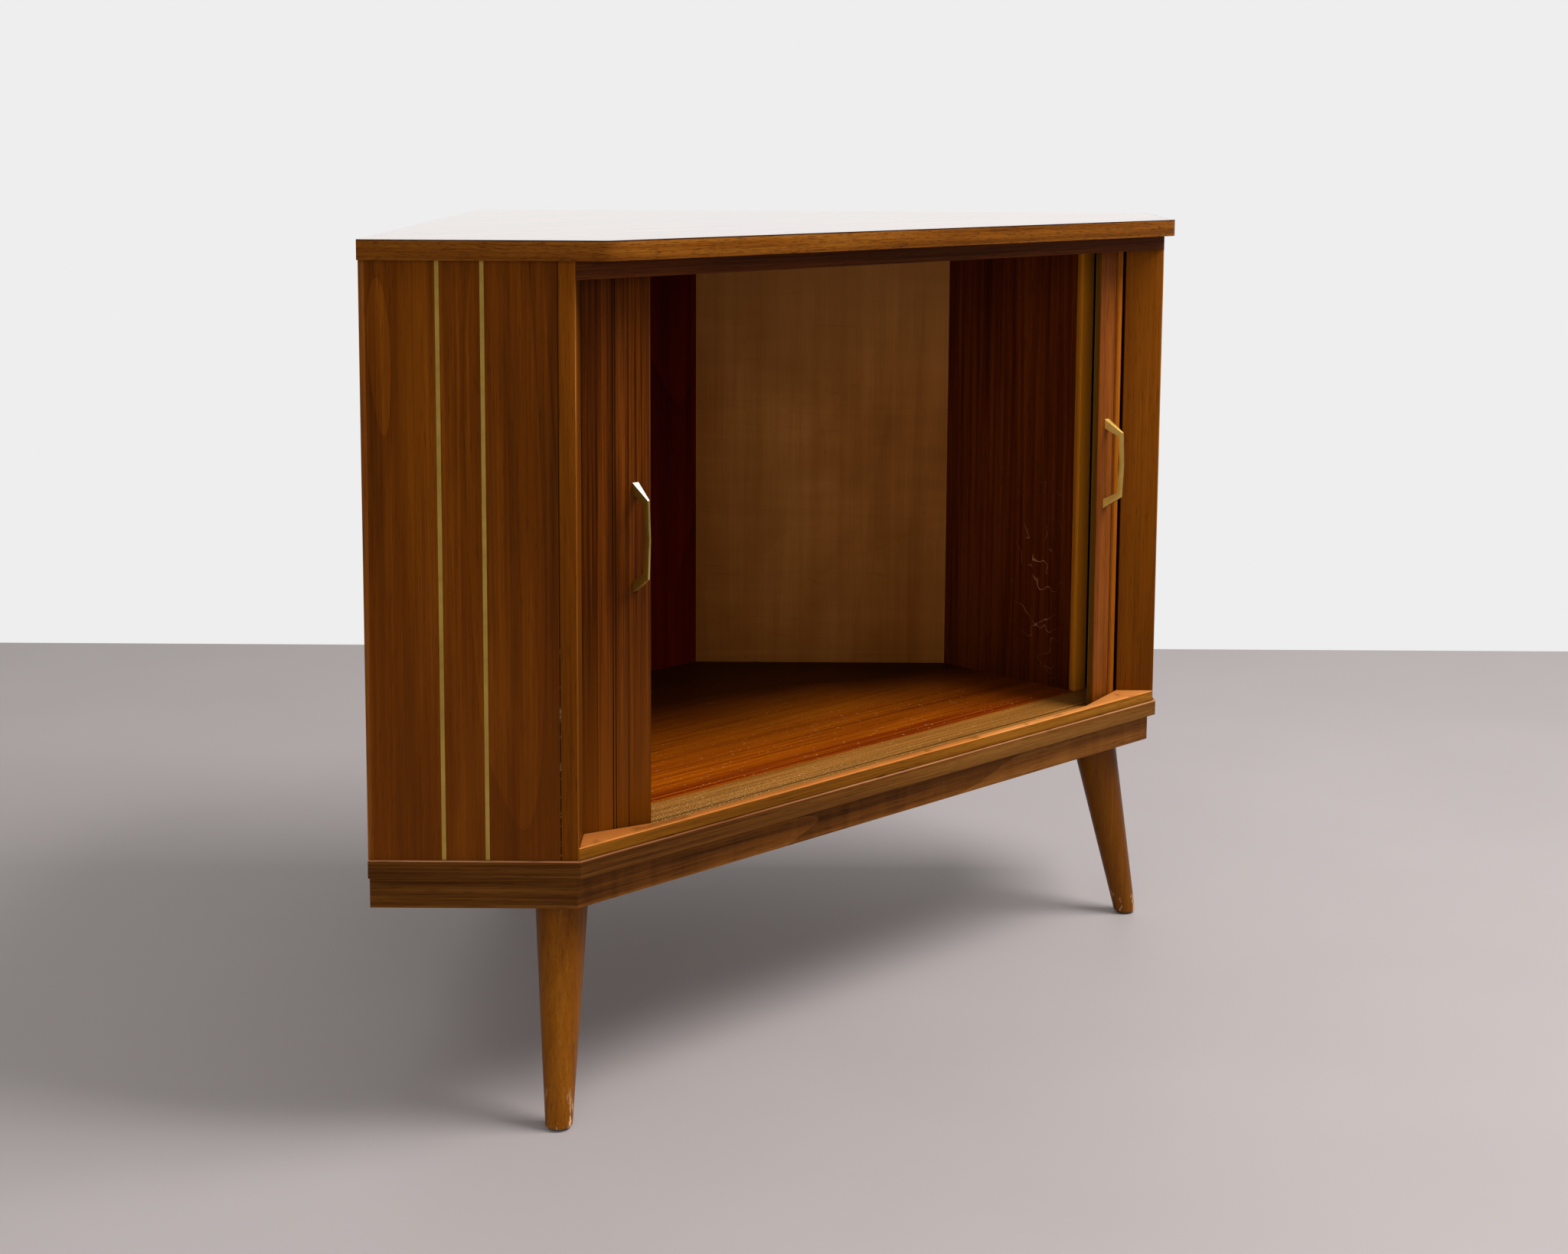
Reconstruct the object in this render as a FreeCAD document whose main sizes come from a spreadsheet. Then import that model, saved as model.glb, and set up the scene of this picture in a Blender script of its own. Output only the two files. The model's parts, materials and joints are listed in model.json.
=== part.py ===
import FreeCAD, Part
import Sketcher
import math
import os

# Corner cabinet with two tambour doors, on three splayed legs.
# Row frame: millimetres, +Z up, floor at Z = 0, front towards -Y.
# The origin is on the floor under the middle of the cabinet's bounding box.
#
# Plan: a pentagon. The front edge runs from the left front corner to the right front corner.
# A short side leaves each front corner at 45 degrees and meets its wall at a right angle,
# and the two wall sides meet at a right angle in the back corner.
# Near a front corner, places are given as (inward, along): inward is the distance from the
# short side's line, and along is the distance from the front corner towards the wall.

doc = FreeCAD.newDocument("corner_cabinet")
V = FreeCAD.Vector

# Driving dimensions
SIZES = [
    # Plan
    ("front_half", 409, "half the front edge of the bottom board"),
    ("side_length", 180, "short side of the bottom board, front corner to wall"),
    ("slab_front_overhang", 22.5, "top panel beyond the board at the front"),
    ("slab_side_overhang", 3.5, "top panel beyond the board at the short sides"),
    ("slab_corner_radius", 16, "rounding of the top panel's front corners"),
    ("ledge", 3, "board beyond the panels and the front rails"),
    ("apron_recess", 8, "apron behind the board's edge at the front and short sides"),
    # Heights
    ("apron_bottom", 203, "floor to the apron"),
    ("apron_height", 28, "height of the apron"),
    ("board_thickness", 16, "bottom board"),
    ("carcass_height", 508, "clear height between the bottom board and the top panel"),
    ("slab_thickness", 17, "top panel"),
    ("curb_height", 11, "lower front rail above the board"),
    ("curb_depth", 7.5, "lower front rail in its thin stretch"),
    ("curb_wedge", 109, "wedge ends of the lower front rail, inward from the front corners"),
    ("upper_rail_height", 16, "upper front rail below the top panel"),
    # Sections
    ("slab_band", 4, "edge band of the top panel"),
    ("board_band", 6, "edge strips of the bottom board"),
    ("apron_thickness", 18, "apron boards"),
    ("panel_thickness", 16, "side panels"),
    ("post_width", 15.5, "front post along the short side"),
    ("post_depth", 40, "front post, from the short side inward"),
    ("back_thickness", 5, "plywood back panels"),
    ("inner_wall_inset", 31.5, "inner faces of the false walls, inward of the front corners"),
    ("inner_wall_thickness", 19, "false walls"),
    ("inner_wall_front", 87, "front of the false walls, behind the board's front edge"),
    ("lipping_depth", 8, "pale lipping on the false walls"),
    ("corner_board_inset", 179.5, "front of the board across the back corner, from that corner"),
    ("corner_board_thickness", 12, "board across the back corner"),
    ("cleat_size", 18, "cleats behind the corner board"),
    ("batten_size", 20, "batten in the back corner"),
    # Brass strips in the side panels
    ("brass_width", 3.5, "width of a strip"),
    ("brass_depth", 2, "depth of a strip"),
    ("brass_near", 64.5, "first strip from the wall, to its middle"),
    ("brass_far", 101.5, "second strip from the wall, to its middle"),
    # Tambour track
    ("track_back", 34, "canvas face of the slats, behind the board's front edge"),
    ("track_inward", 53, "canvas face of the slats, inward from the short side"),
    ("track_wall_gap", 3, "slats to the back panel and to the false wall"),
    ("bend_front", 26, "radius of the bend behind the post"),
    ("bend_corner", 30, "radius of the bend at the wall"),
    ("bend_return", 22, "radius of the return bend at the false wall"),
    ("track_end", 96, "end of the groove, behind the board's front edge"),
    ("groove_depth", 5, "groove in the board"),
    ("groove_depth_top", 6, "groove in the top panel"),
    ("groove_clearance", 0.6, "slat to each groove wall"),
    ("slat_end_clearance", 0.3, "slat ends to the groove bottoms"),
    # Tambour leaves
    ("slat_thickness", 7, "slats"),
    ("slat_pitch", 15.4, "slat to slat"),
    ("slat_gap", 0.2, "joint between slats"),
    ("slat_arris", 0.5, "bevel on the face edges of a slat"),
    ("lead_width", 26, "lead slat of each leaf"),
    ("canvas_thickness", 0.5, "canvas glued to the slats"),
    ("left_shows", 53.3, "left leaf as opened, from its lead edge to the bend behind the post"),
    ("right_shows", 26, "right leaf as opened, from its lead edge to the bend behind the post"),
    ("gather_width", 2, "stretch of leaf that is drawn out when a door closes"),
    ("gather_clearance", 0.2, "gap at each side of the drawn-out stretch"),
    ("gather_inset", 1, "drawn-out stretch behind the slats' faces"),
    # Pulls
    ("pull_height", 512, "middle of a pull above the floor"),
    ("pull_edge_left", 18, "middle of the left pull from the lead edge"),
    ("pull_edge_right", 14.5, "middle of the right pull from the lead edge"),
    ("pull_half", 48, "half the height of a pull"),
    ("pull_grip_half", 34.5, "half the height of the grip"),
    ("pull_reach", 20, "grip from the slat, at its corners"),
    ("pull_bow", 1.6, "extra reach at the middle of the grip"),
    ("pull_foot", 10, "height of a foot at the slat"),
    ("pull_grip_thickness", 4.8, "grip, front to back"),
    ("pull_foot_width", 7.2, "foot, side to side"),
    ("pull_grip_width", 3.4, "grip, side to side"),
    ("screw_radius", 1.6, "pull screws"),
    ("screw_bite", 4, "pull screws into the pull"),
    ("screw_head_radius", 3.2, "pull screw heads"),
    ("screw_head_height", 1.8, "pull screw heads"),
    # Legs
    ("leg_inward", 65, "leg top inward from the short side"),
    ("leg_along", 22, "leg top along the short side"),
    ("rear_leg_back", 100, "rear leg top from the back corner"),
    ("leg_splay_out", 41, "foot on the floor, outward from the leg's top"),
    ("leg_top_radius", 22.8, "leg at the apron"),
    ("leg_foot_radius", 11.5, "leg at the foot"),
    ("leg_foot_round", 3, "rounding of the foot"),
    ("glide_radius", 9, "glides"),
    ("glide_height", 2, "glides below the foot"),
    ("block_inward", 105, "leg blocks, inward"),
    ("block_along", 75, "leg blocks, along the short side"),
    ("stud_radius", 4, "leg studs"),
    ("stud_length", 40, "leg studs"),
    # Dowels and nails
    ("dowel_radius", 4, "carcass dowels"),
    ("dowel_bite", 10, "dowels into the board and the top panel"),
    ("dowel_reach", 14, "dowels into the panels"),
    ("nail_radius", 0.8, "panel nails"),
    ("nail_length", 12, "panel nails"),
    ("nail_head_radius", 2, "nail heads"),
    ("nail_head_height", 0.6, "nail heads"),
    ("nail_edge", 14, "end nails from the panel's ends"),
]

sheet = doc.addObject("Spreadsheet::Sheet", "Sizes")
for row, (alias, number, meaning) in enumerate(SIZES, start=1):
    sheet.set(f"A{row}", meaning)
    sheet.set(f"B{row}", str(number))
    sheet.setAlias(f"B{row}", alias)
doc.recompute()


class Size:
    """A length with its number and the sheet formula that gives it."""

    def __init__(self, text, value):
        self.text = text
        self.value = value

    def __add__(self, other):
        other = plain(other)
        return Size(f"({self.text} + {other.text})", self.value + other.value)

    def __sub__(self, other):
        other = plain(other)
        return Size(f"({self.text} - {other.text})", self.value - other.value)

    def __mul__(self, other):
        other = plain(other)
        return Size(f"({self.text} * {other.text})", self.value * other.value)

    def __truediv__(self, other):
        other = plain(other)
        return Size(f"({self.text} / {other.text})", self.value / other.value)

    def __rsub__(self, other):
        return plain(other) - self

    __radd__ = __add__
    __rmul__ = __mul__


def plain(value):
    return value if isinstance(value, Size) else Size(repr(value), value)


def size(alias):
    return Size(f"Sizes.{alias}", float(sheet.get(alias)))


HALF_ROOT = Size("sqrt(0.5)", math.sqrt(0.5))
ROOT = Size("sqrt(2)", math.sqrt(2))
TAN_HALF_45 = Size("tan(22.5)", math.tan(math.radians(22.5)))
LEFT = -1
RIGHT = 1
SIDE_NAME = {LEFT: "left", RIGHT: "right"}
SAME_POINT = 0.01  # points nearer than this are one point

front_half = size("front_half")
side_length = size("side_length")
ledge = size("ledge")
back_thickness = size("back_thickness")
slat_thickness = size("slat_thickness")

# Heights
apron_bottom = size("apron_bottom")
board_bottom = apron_bottom + size("apron_height")
board_top = board_bottom + size("board_thickness")
slab_bottom = board_top + size("carcass_height")
slab_top = slab_bottom + size("slab_thickness")
curb_top = board_top + size("curb_height")
upper_rail_bottom = slab_bottom - size("upper_rail_height")
slat_bottom = board_top - size("groove_depth") + size("slat_end_clearance")
slat_top = slab_bottom + size("groove_depth_top") - size("slat_end_clearance")

# Depths, from the board's front edge, and the row's Y of that edge
back_corner_depth = front_half + side_length * ROOT
front_y = (size("slab_front_overhang") - back_corner_depth) / 2
wall_length = side_length + front_half * ROOT
panel_face = side_length - back_thickness
cheek = ledge * TAN_HALF_45


def row_point(x, depth):
    """A plan point from its X and its depth behind the board's front edge."""
    return plain(x), front_y + depth


def corner_point(side, inward, along):
    """A plan point near a front corner."""
    x = (front_half - (plain(inward) - along) * HALF_ROOT) * side
    return x, front_y + (plain(inward) + along) * HALF_ROOT


def wall_face_depth(x):
    """Depth of the back panels' inner face at distance x from the middle."""
    return panel_face * ROOT + front_half - x


def bind(item, prop, value):
    item.setExpression(prop, plain(value).text)


def place(item, x, y, z):
    """Binds the base of an object's placement."""
    bind(item, "Placement.Base.x", x)
    bind(item, "Placement.Base.y", y)
    bind(item, "Placement.Base.z", z)


nodes = []


def node(item, name):
    """Gives a finished sub-part its name and puts it on the list of nodes."""
    item.Label = name
    nodes.append(item)
    return item


def outline_sketch(body, corners):
    """A closed outline on the body's XY plane, each corner bound to the sheet."""
    plane = next(f for f in body.Origin.OriginFeatures if f.Role == "XY_Plane")
    sketch = body.newObject("Sketcher::SketchObject", body.Name + "_outline")
    sketch.AttachmentSupport = (plane, "")
    sketch.MapMode = "FlatFace"
    spots = [V(x.value, y.value, 0) for x, y in corners]
    count = len(corners)
    for k in range(count):
        sketch.addGeometry(Part.LineSegment(spots[k], spots[(k + 1) % count]), False)
    for k in range(count):
        sketch.addConstraint(Sketcher.Constraint("Coincident", k, 2, (k + 1) % count, 1))
    for k, (x, y) in enumerate(corners):
        for kind, value in (("DistanceX", x), ("DistanceY", y)):
            index = sketch.addConstraint(Sketcher.Constraint(kind, -1, 1, k, 1, value.value))
            sketch.setExpression(f"Constraints[{index}]", value.text)
    return sketch


def plate(name, corners, low, high):
    """A flat piece with a polygonal plan between two heights."""
    body = doc.addObject("PartDesign::Body", name)
    sketch = outline_sketch(body, corners)
    pad = body.newObject("PartDesign::Pad", name + "_pad")
    pad.Profile = sketch
    bind(pad, "Length", high - low)
    bind(body, "Placement.Base.z", low)
    doc.recompute()
    return body


def round_corners(body, corners, radius):
    """Rounds the upright edges of a plate that stand at the given plan points."""
    pad = body.Tip
    names = []
    for index, edge in enumerate(pad.Shape.Edges, start=1):
        ends = [v.Point for v in edge.Vertexes]
        if len(ends) == 2 and abs(ends[0].z - ends[1].z) > SAME_POINT:
            for x, y in corners:
                if math.dist((ends[0].x, ends[0].y), (x.value, y.value)) < SAME_POINT:
                    names.append(f"Edge{index}")
    fillet = body.newObject("PartDesign::Fillet", body.Name + "_rounding")
    fillet.Base = (pad, names)
    bind(fillet, "Radius", radius)
    body.Tip = fillet
    doc.recompute()
    return body


def corner_box(name, side, inward, along, low, high):
    """A square-edged piece that lies along a short side or a wall."""
    box = doc.addObject("Part::Box", name)
    inward_length = inward[1] - inward[0]
    along_length = along[1] - along[0]
    bind(box, "Length", along_length if side == RIGHT else inward_length)
    bind(box, "Width", inward_length if side == RIGHT else along_length)
    bind(box, "Height", high - low)
    box.Placement = FreeCAD.Placement(V(), FreeCAD.Rotation(V(0, 0, 1), 45))
    x, y = corner_point(side, inward[0], along[0])
    place(box, x, y, low)
    doc.recompute()
    return box


def cut(name, base, *tools):
    """A piece with tools taken out of it, one after the other."""
    for count, tool in enumerate(tools, start=1):
        item = doc.addObject("Part::Cut", f"{name}_{count}")
        item.Base = base
        item.Tool = tool
        base = item
    doc.recompute()
    return base


def shape_item(name, shape):
    """A piece or tool whose shape is worked out here from the sheet's sizes."""
    item = doc.addObject("Part::Feature", name)
    item.Shape = shape
    item.Placement = FreeCAD.Placement()
    return item


def prism(points, low, high):
    """A solid from plan points, given as numbers, between two heights."""
    wire = Part.makePolygon([V(x, y, low.value) for x, y in points] + [V(*points[0], low.value)])
    return Part.Face(wire).extrude(V(0, 0, high.value - low.value))


def numbers(point):
    return point[0].value, point[1].value


# Track: the line of the canvas, as seen from above, for the right-hand leaf.
# It runs from the middle along the front, bends behind the post, follows the short side,
# bends along the wall and returns beside the false wall.
track_back = size("track_back")
track_inward = size("track_inward")
track_gap = size("track_wall_gap")
track_along = panel_face - track_gap - slat_thickness
inner_wall_half = front_half - size("inner_wall_inset")
inner_wall_middle = inner_wall_half + size("inner_wall_thickness") / 2
inner_wall_outside = inner_wall_half + size("inner_wall_thickness")
return_x = inner_wall_outside + track_gap + slat_thickness
return_inward = track_along + (front_half - return_x) * ROOT
TRACK_CORNERS = [
    numbers(row_point(0, track_back)),
    numbers(corner_point(RIGHT, track_inward, track_back * ROOT - track_inward)),
    numbers(corner_point(RIGHT, track_inward, track_along)),
    numbers(corner_point(RIGHT, return_inward, track_along)),
    numbers(row_point(return_x, size("track_end"))),
]
TRACK_RADII = [size(name).value for name in ("bend_front", "bend_corner", "bend_return")]


def unit(vector):
    return vector / vector.Length


def track_pieces(outward):
    """Straight runs and bends of the track line, moved outward from the canvas line.

    Each piece is (start, end, centre): centre is None on a straight run. All bends turn left,
    so outward is to the right of the way, and adds to each radius.
    """
    spots = [V(x, y, 0) for x, y in TRACK_CORNERS]
    ways = [unit(b - a) for a, b in zip(spots, spots[1:])]
    sides = [V(way.y, -way.x, 0) for way in ways]
    pieces = []
    start = spots[0] + sides[0] * outward
    for k, radius in enumerate(TRACK_RADII):
        turn = ways[k].getAngle(ways[k + 1])
        tangent = radius * math.tan(turn / 2)
        bend_start = spots[k + 1] - ways[k] * tangent
        bend_end = spots[k + 1] + ways[k + 1] * tangent
        centre = bend_start - sides[k] * radius
        bend_start = bend_start + sides[k] * outward
        bend_end = bend_end + sides[k + 1] * outward
        pieces.append((start, bend_start, None))
        pieces.append((bend_start, bend_end, centre))
        start = bend_end
    pieces.append((start, spots[-1] + sides[-1] * outward, None))
    return pieces


def track_edges(outward):
    edges = []
    for start, end, centre in track_pieces(outward):
        if centre is None:
            edges.append(Part.LineSegment(start, end).toShape())
        else:
            middle = centre + unit((start + end) * 0.5 - centre) * (start - centre).Length
            edges.append(Part.Arc(start, middle, end).toShape())
    return edges


def track_spot(distance):
    """The point of the canvas line at a distance along it from the middle."""
    for start, end, centre in track_pieces(0):
        if centre is None:
            length = (end - start).Length
            if distance <= length or end == V(*TRACK_CORNERS[-1], 0):
                return start + unit(end - start) * distance
        else:
            arm = start - centre
            length = arm.Length * arm.getAngle(end - centre)
            if distance <= length:
                turn = distance / arm.Length
                arm = FreeCAD.Rotation(V(0, 0, 1), math.degrees(turn)).multVec(arm)
                return centre + arm
        distance -= length


def mirrored(shape, side):
    return shape if side == RIGHT else shape.mirror(V(0, 0, 0), V(1, 0, 0))


def groove_tool(low, high):
    """The groove of both leaves as one solid tool.

    A slat on a bend stands on a chord, so the inner wall is further in by the chord's bow.
    """
    clearance = size("groove_clearance").value
    bow = size("slat_pitch").value ** 2 / (8 * min(TRACK_RADII))
    outer = track_edges(slat_thickness.value + clearance)
    inner = track_edges(-size("canvas_thickness").value - bow - clearance)
    outer_ends = outer[0].Vertexes[0].Point, outer[-1].Vertexes[-1].Point
    inner_ends = inner[0].Vertexes[0].Point, inner[-1].Vertexes[-1].Point
    caps = [Part.LineSegment(a, b).toShape() for a, b in zip(outer_ends, inner_ends)]
    wire = Part.Wire(Part.__sortEdges__(outer + inner + caps))
    band = Part.Face(wire).extrude(V(0, 0, (high - low).value))
    band.translate(V(0, 0, low.value))
    both = band.fuse(mirrored(band, LEFT))
    return both.removeSplitter()


def inside_tool(low, high):
    """All that lies behind the groove's front wall, as a tool for the two front rails."""
    outer = track_edges(slat_thickness.value + size("groove_clearance").value)[:3]
    start = outer[0].Vertexes[0].Point
    end = outer[-1].Vertexes[-1].Point
    back = V(0, end.y, 0)
    closing = [Part.LineSegment(end, back).toShape(), Part.LineSegment(back, start).toShape()]
    wire = Part.Wire(Part.__sortEdges__(outer + closing))
    half = Part.Face(wire).extrude(V(0, 0, (high - low).value))
    half.translate(V(0, 0, low.value))
    return half.fuse(mirrored(half, LEFT)).removeSplitter()


# Dowels: upright, half in a panel and half in the board or the top panel
DOWEL_SHARES = (0.2, 0.8)  # places of the two dowels along a panel


def dowel_places():
    places = []
    for side in (LEFT, RIGHT):
        mid_panel = ledge + size("panel_thickness") / 2
        post_start = cheek + size("post_width")
        for share in DOWEL_SHARES:
            along = post_start + (panel_face - post_start) * share
            places.append(corner_point(side, mid_panel, along))
        mid_post = ledge + size("post_depth") / 2
        places.append(corner_point(side, mid_post, cheek + size("post_width") / 2))
        wall_start = size("inner_wall_front") + size("lipping_depth")
        wall_run = wall_face_depth(inner_wall_outside) - wall_start
        for share in DOWEL_SHARES:
            places.append(row_point(inner_wall_middle * side, wall_start + wall_run * share))
    return [numbers(p) for p in places]


def dowel_solids():
    solids = []
    bite = size("dowel_bite").value
    reach = size("dowel_reach").value
    radius = size("dowel_radius").value
    for x, y in dowel_places():
        solids.append(Part.makeCylinder(radius, bite + reach, V(x, y, board_top.value - bite)))
        solids.append(Part.makeCylinder(radius, bite + reach, V(x, y, slab_bottom.value - reach)))
    return Part.makeCompound(solids)


dowels = node(shape_item("dowels", dowel_solids()), "carcass_dowels")


# Nails: through the back panels into whatever stands behind them
NAIL_ROWS = 4
corner_board_front = back_corner_depth - size("corner_board_inset")
corner_board_back = corner_board_front + size("corner_board_thickness")
cleat_start = corner_board_back * ROOT - panel_face + size("cleat_size")


def nail_solids():
    heights = []
    first = board_top.value + size("nail_edge").value
    last = slab_bottom.value - size("nail_edge").value
    for k in range(NAIL_ROWS):
        heights.append(first + (last - first) * k / (NAIL_ROWS - 1))
    false_wall = side_length + (front_half - inner_wall_middle) * ROOT
    cleat = cleat_start + size("cleat_size") / 2
    batten = wall_length - back_thickness - size("batten_size") / 2
    panel = ledge + size("panel_thickness") / 2
    solids = []
    for side in (LEFT, RIGHT):
        inward_way = V(-side, -1, 0) * HALF_ROOT.value
        for inward in (panel, false_wall, cleat, batten):
            x, y = numbers(corner_point(side, inward, side_length))
            for z in heights:
                spot = V(x, y, z)
                shank = Part.makeCylinder(size("nail_radius").value, size("nail_length").value,
                                          spot, inward_way)
                head_height = size("nail_head_height").value
                head = Part.makeCylinder(size("nail_head_radius").value, head_height,
                                         spot - inward_way * head_height, inward_way)
                solids.append(head.fuse(shank).removeSplitter())
    return Part.makeCompound(solids)


nails = node(shape_item("nails", nail_solids()), "panel_nails")

# Top panel: a core with a solid band along the front and the short sides
slab_side = size("slab_side_overhang")
slab_front = size("slab_front_overhang")
slab_band = size("slab_band")


def slab_outline(shrink):
    """Plan of the top panel, with the front and the short sides moved in by shrink."""
    out = slab_side - shrink
    front_along = (slab_front - shrink) * ROOT * -1 + out
    corners = []
    for side in (LEFT, RIGHT):
        front = corner_point(side, out * -1, front_along)
        wall = corner_point(side, out * -1, side_length)
        corners += [wall, front] if side == LEFT else [front, wall]
    corners.append(row_point(0, back_corner_depth))
    return corners


slab_radius = size("slab_corner_radius")
outer_corners = slab_outline(plain(0))
inner_corners = slab_outline(slab_band)
slab_full = round_corners(plate("slab_full", outer_corners, slab_bottom, slab_top),
                          outer_corners[1:3], slab_radius)
slab_core = round_corners(plate("slab_core", inner_corners, slab_bottom, slab_top),
                          inner_corners[1:3], slab_radius - slab_band)
slab_core_copy = round_corners(plate("slab_inside", inner_corners, slab_bottom, slab_top),
                               inner_corners[1:3], slab_radius - slab_band)
node(cut("band", slab_full, slab_core_copy), "top_edge_band")
top_groove = shape_item("top_groove", groove_tool(slab_bottom, slab_bottom + size("groove_depth_top")))
node(cut("top", slab_core, top_groove, dowels), "top_panel")

# Bottom board: a core with three mitred strips
board_band = size("board_band")


def board_outline(shrink):
    """Plan of the bottom board, with the front and the short sides moved in by shrink."""
    corners = []
    for side in (LEFT, RIGHT):
        front = corner_point(side, shrink, shrink * TAN_HALF_45)
        wall = corner_point(side, shrink, side_length)
        corners += [wall, front] if side == LEFT else [front, wall]
    corners.append(row_point(0, back_corner_depth))
    return corners


board_core = plate("board_core", board_outline(board_band), board_bottom, board_top)
board_groove = shape_item("board_groove", groove_tool(board_top - size("groove_depth"), board_top))
node(cut("board", board_core, board_groove, dowels), "bottom_board")


def front_strip(name, recess, thickness, low, high):
    """A strip along the front edge, mitred at both corners."""
    outer = recess * TAN_HALF_45
    inner = (recess + thickness) * TAN_HALF_45
    corners = [
        corner_point(LEFT, recess, outer),
        corner_point(RIGHT, recess, outer),
        corner_point(RIGHT, recess + thickness, inner),
        corner_point(LEFT, recess + thickness, inner),
    ]
    return node(plate(name, corners, low, high), name)


def side_strip(name, side, recess, thickness, low, high):
    """A strip along a short side, mitred at the front and square at the wall."""
    corners = [
        corner_point(side, recess, recess * TAN_HALF_45),
        corner_point(side, recess, side_length),
        corner_point(side, recess + thickness, side_length),
        corner_point(side, recess + thickness, (recess + thickness) * TAN_HALF_45),
    ]
    return node(plate(name, corners, low, high), name)


front_strip("board_edge_front", plain(0), board_band, board_bottom, board_top)
for side in (LEFT, RIGHT):
    side_strip(f"board_edge_{SIDE_NAME[side]}", side, plain(0), board_band, board_bottom, board_top)

# Apron: mitred front corners, back boards between the short sides and the back corner
apron_recess = size("apron_recess")
apron_thickness = size("apron_thickness")
apron_inner = apron_recess + apron_thickness
front_strip("apron_front", apron_recess, apron_thickness, apron_bottom, board_bottom)
for side in (LEFT, RIGHT):
    name = SIDE_NAME[side]
    side_strip(f"apron_{name}", side, apron_recess, apron_thickness, apron_bottom, board_bottom)
    back_end = wall_length if side == RIGHT else wall_length - apron_thickness
    back_apron = corner_box(f"back_apron_{name}", side, (apron_inner, back_end),
                            (side_length - apron_thickness, side_length), apron_bottom, board_bottom)
    node(back_apron, f"apron_back_{name}")


# Front rails: the curb on the board and the rail under the top panel
def front_rail(name, low, high, thin_stretch=()):
    rail_end = ledge + size("post_depth")
    corners = [
        corner_point(LEFT, ledge, cheek),
        corner_point(RIGHT, ledge, cheek),
        corner_point(RIGHT, rail_end, cheek),
        *thin_stretch,
        corner_point(LEFT, rail_end, cheek),
    ]
    blank = plate(name + "_blank", corners, low, high)
    inside = shape_item(name + "_inside", inside_tool(low, high))
    return node(cut(name, blank, inside), name)


curb_back = ledge + size("curb_depth")
wedge_start = front_half - size("curb_wedge")
front_rail("front_curb", board_top, curb_top,
           [row_point(wedge_start, curb_back), row_point(wedge_start * -1, curb_back)])
front_rail("upper_front_rail", upper_rail_bottom, slab_bottom)

# Side panels with their posts and brass strips
post_end = cheek + size("post_width")
for side in (LEFT, RIGHT):
    name = SIDE_NAME[side]
    post = corner_box(f"post_{name}", side, (ledge, ledge + size("post_depth")), (cheek, post_end),
                      board_top, slab_bottom)
    node(cut(f"post_{name}_bored", post, dowels), f"front_post_{name}")
    panel = corner_box(f"panel_{name}", side, (ledge, ledge + size("panel_thickness")),
                       (post_end, panel_face), board_top, slab_bottom)
    strips = []
    for distance in ("brass_near", "brass_far"):
        middle = side_length - size(distance)
        half = size("brass_width") / 2
        strip = corner_box(f"{distance}_{name}", side, (ledge, ledge + size("brass_depth")),
                           (middle - half, middle + half), board_top, slab_bottom)
        node(strip, f"{distance.replace('brass', 'brass_strip')}_{name}")
        strips.append(strip)
    node(cut(f"panel_{name}_cut", panel, *strips, dowels, nails), f"side_panel_{name}")

# Back panels: the right one runs into the back corner, the left one meets its face
for side in (LEFT, RIGHT):
    name = SIDE_NAME[side]
    back_end = wall_length if side == RIGHT else wall_length - back_thickness
    back = corner_box(f"back_{name}", side, (ledge, back_end), (panel_face, side_length),
                      board_top, slab_bottom)
    node(cut(f"back_{name}_nailed", back, nails), f"back_panel_{name}")

# False walls with their lippings
wall_front = size("inner_wall_front")
lipping_end = wall_front + size("lipping_depth")
for side in (LEFT, RIGHT):
    name = SIDE_NAME[side]
    inner = inner_wall_half * side
    outer = inner_wall_outside * side
    corners = [row_point(inner, lipping_end), row_point(outer, lipping_end),
               row_point(outer, wall_face_depth(inner_wall_outside)),
               row_point(inner, wall_face_depth(inner_wall_half))]
    wall = plate(f"false_wall_{name}", corners, board_top, slab_bottom)
    node(cut(f"false_wall_{name}_cut", wall, dowels, nails), f"inner_wall_{name}")
    corners = [row_point(inner, wall_front), row_point(outer, wall_front),
               row_point(outer, lipping_end), row_point(inner, lipping_end)]
    lipping = plate(f"lipping_{name}", corners, board_top, slab_bottom)
    node(lipping, f"inner_wall_lipping_{name}")

# Corner board, its cleats and the batten in the back corner
front_reach = panel_face * ROOT + front_half - corner_board_front
back_reach = panel_face * ROOT + front_half - corner_board_back
corners = [
    row_point(front_reach * -1, corner_board_front),
    row_point(front_reach, corner_board_front),
    row_point(back_reach, corner_board_back),
    row_point(back_reach * -1, corner_board_back),
]
node(plate("corner_board", corners, board_top, slab_bottom), "back_corner_board")
for side in (LEFT, RIGHT):
    name = SIDE_NAME[side]
    cleat = corner_box(f"cleat_{name}", side, (cleat_start, cleat_start + size("cleat_size")),
                       (panel_face - size("cleat_size"), panel_face), board_top, slab_bottom)
    node(cut(f"cleat_{name}_nailed", cleat, nails), f"corner_cleat_{name}")
batten_end = wall_length - back_thickness
batten = corner_box("batten", RIGHT, (batten_end - size("batten_size"), batten_end),
                    (panel_face - size("batten_size"), panel_face), board_top, slab_bottom)
node(cut("batten_nailed", batten, nails), "back_corner_batten")

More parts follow.
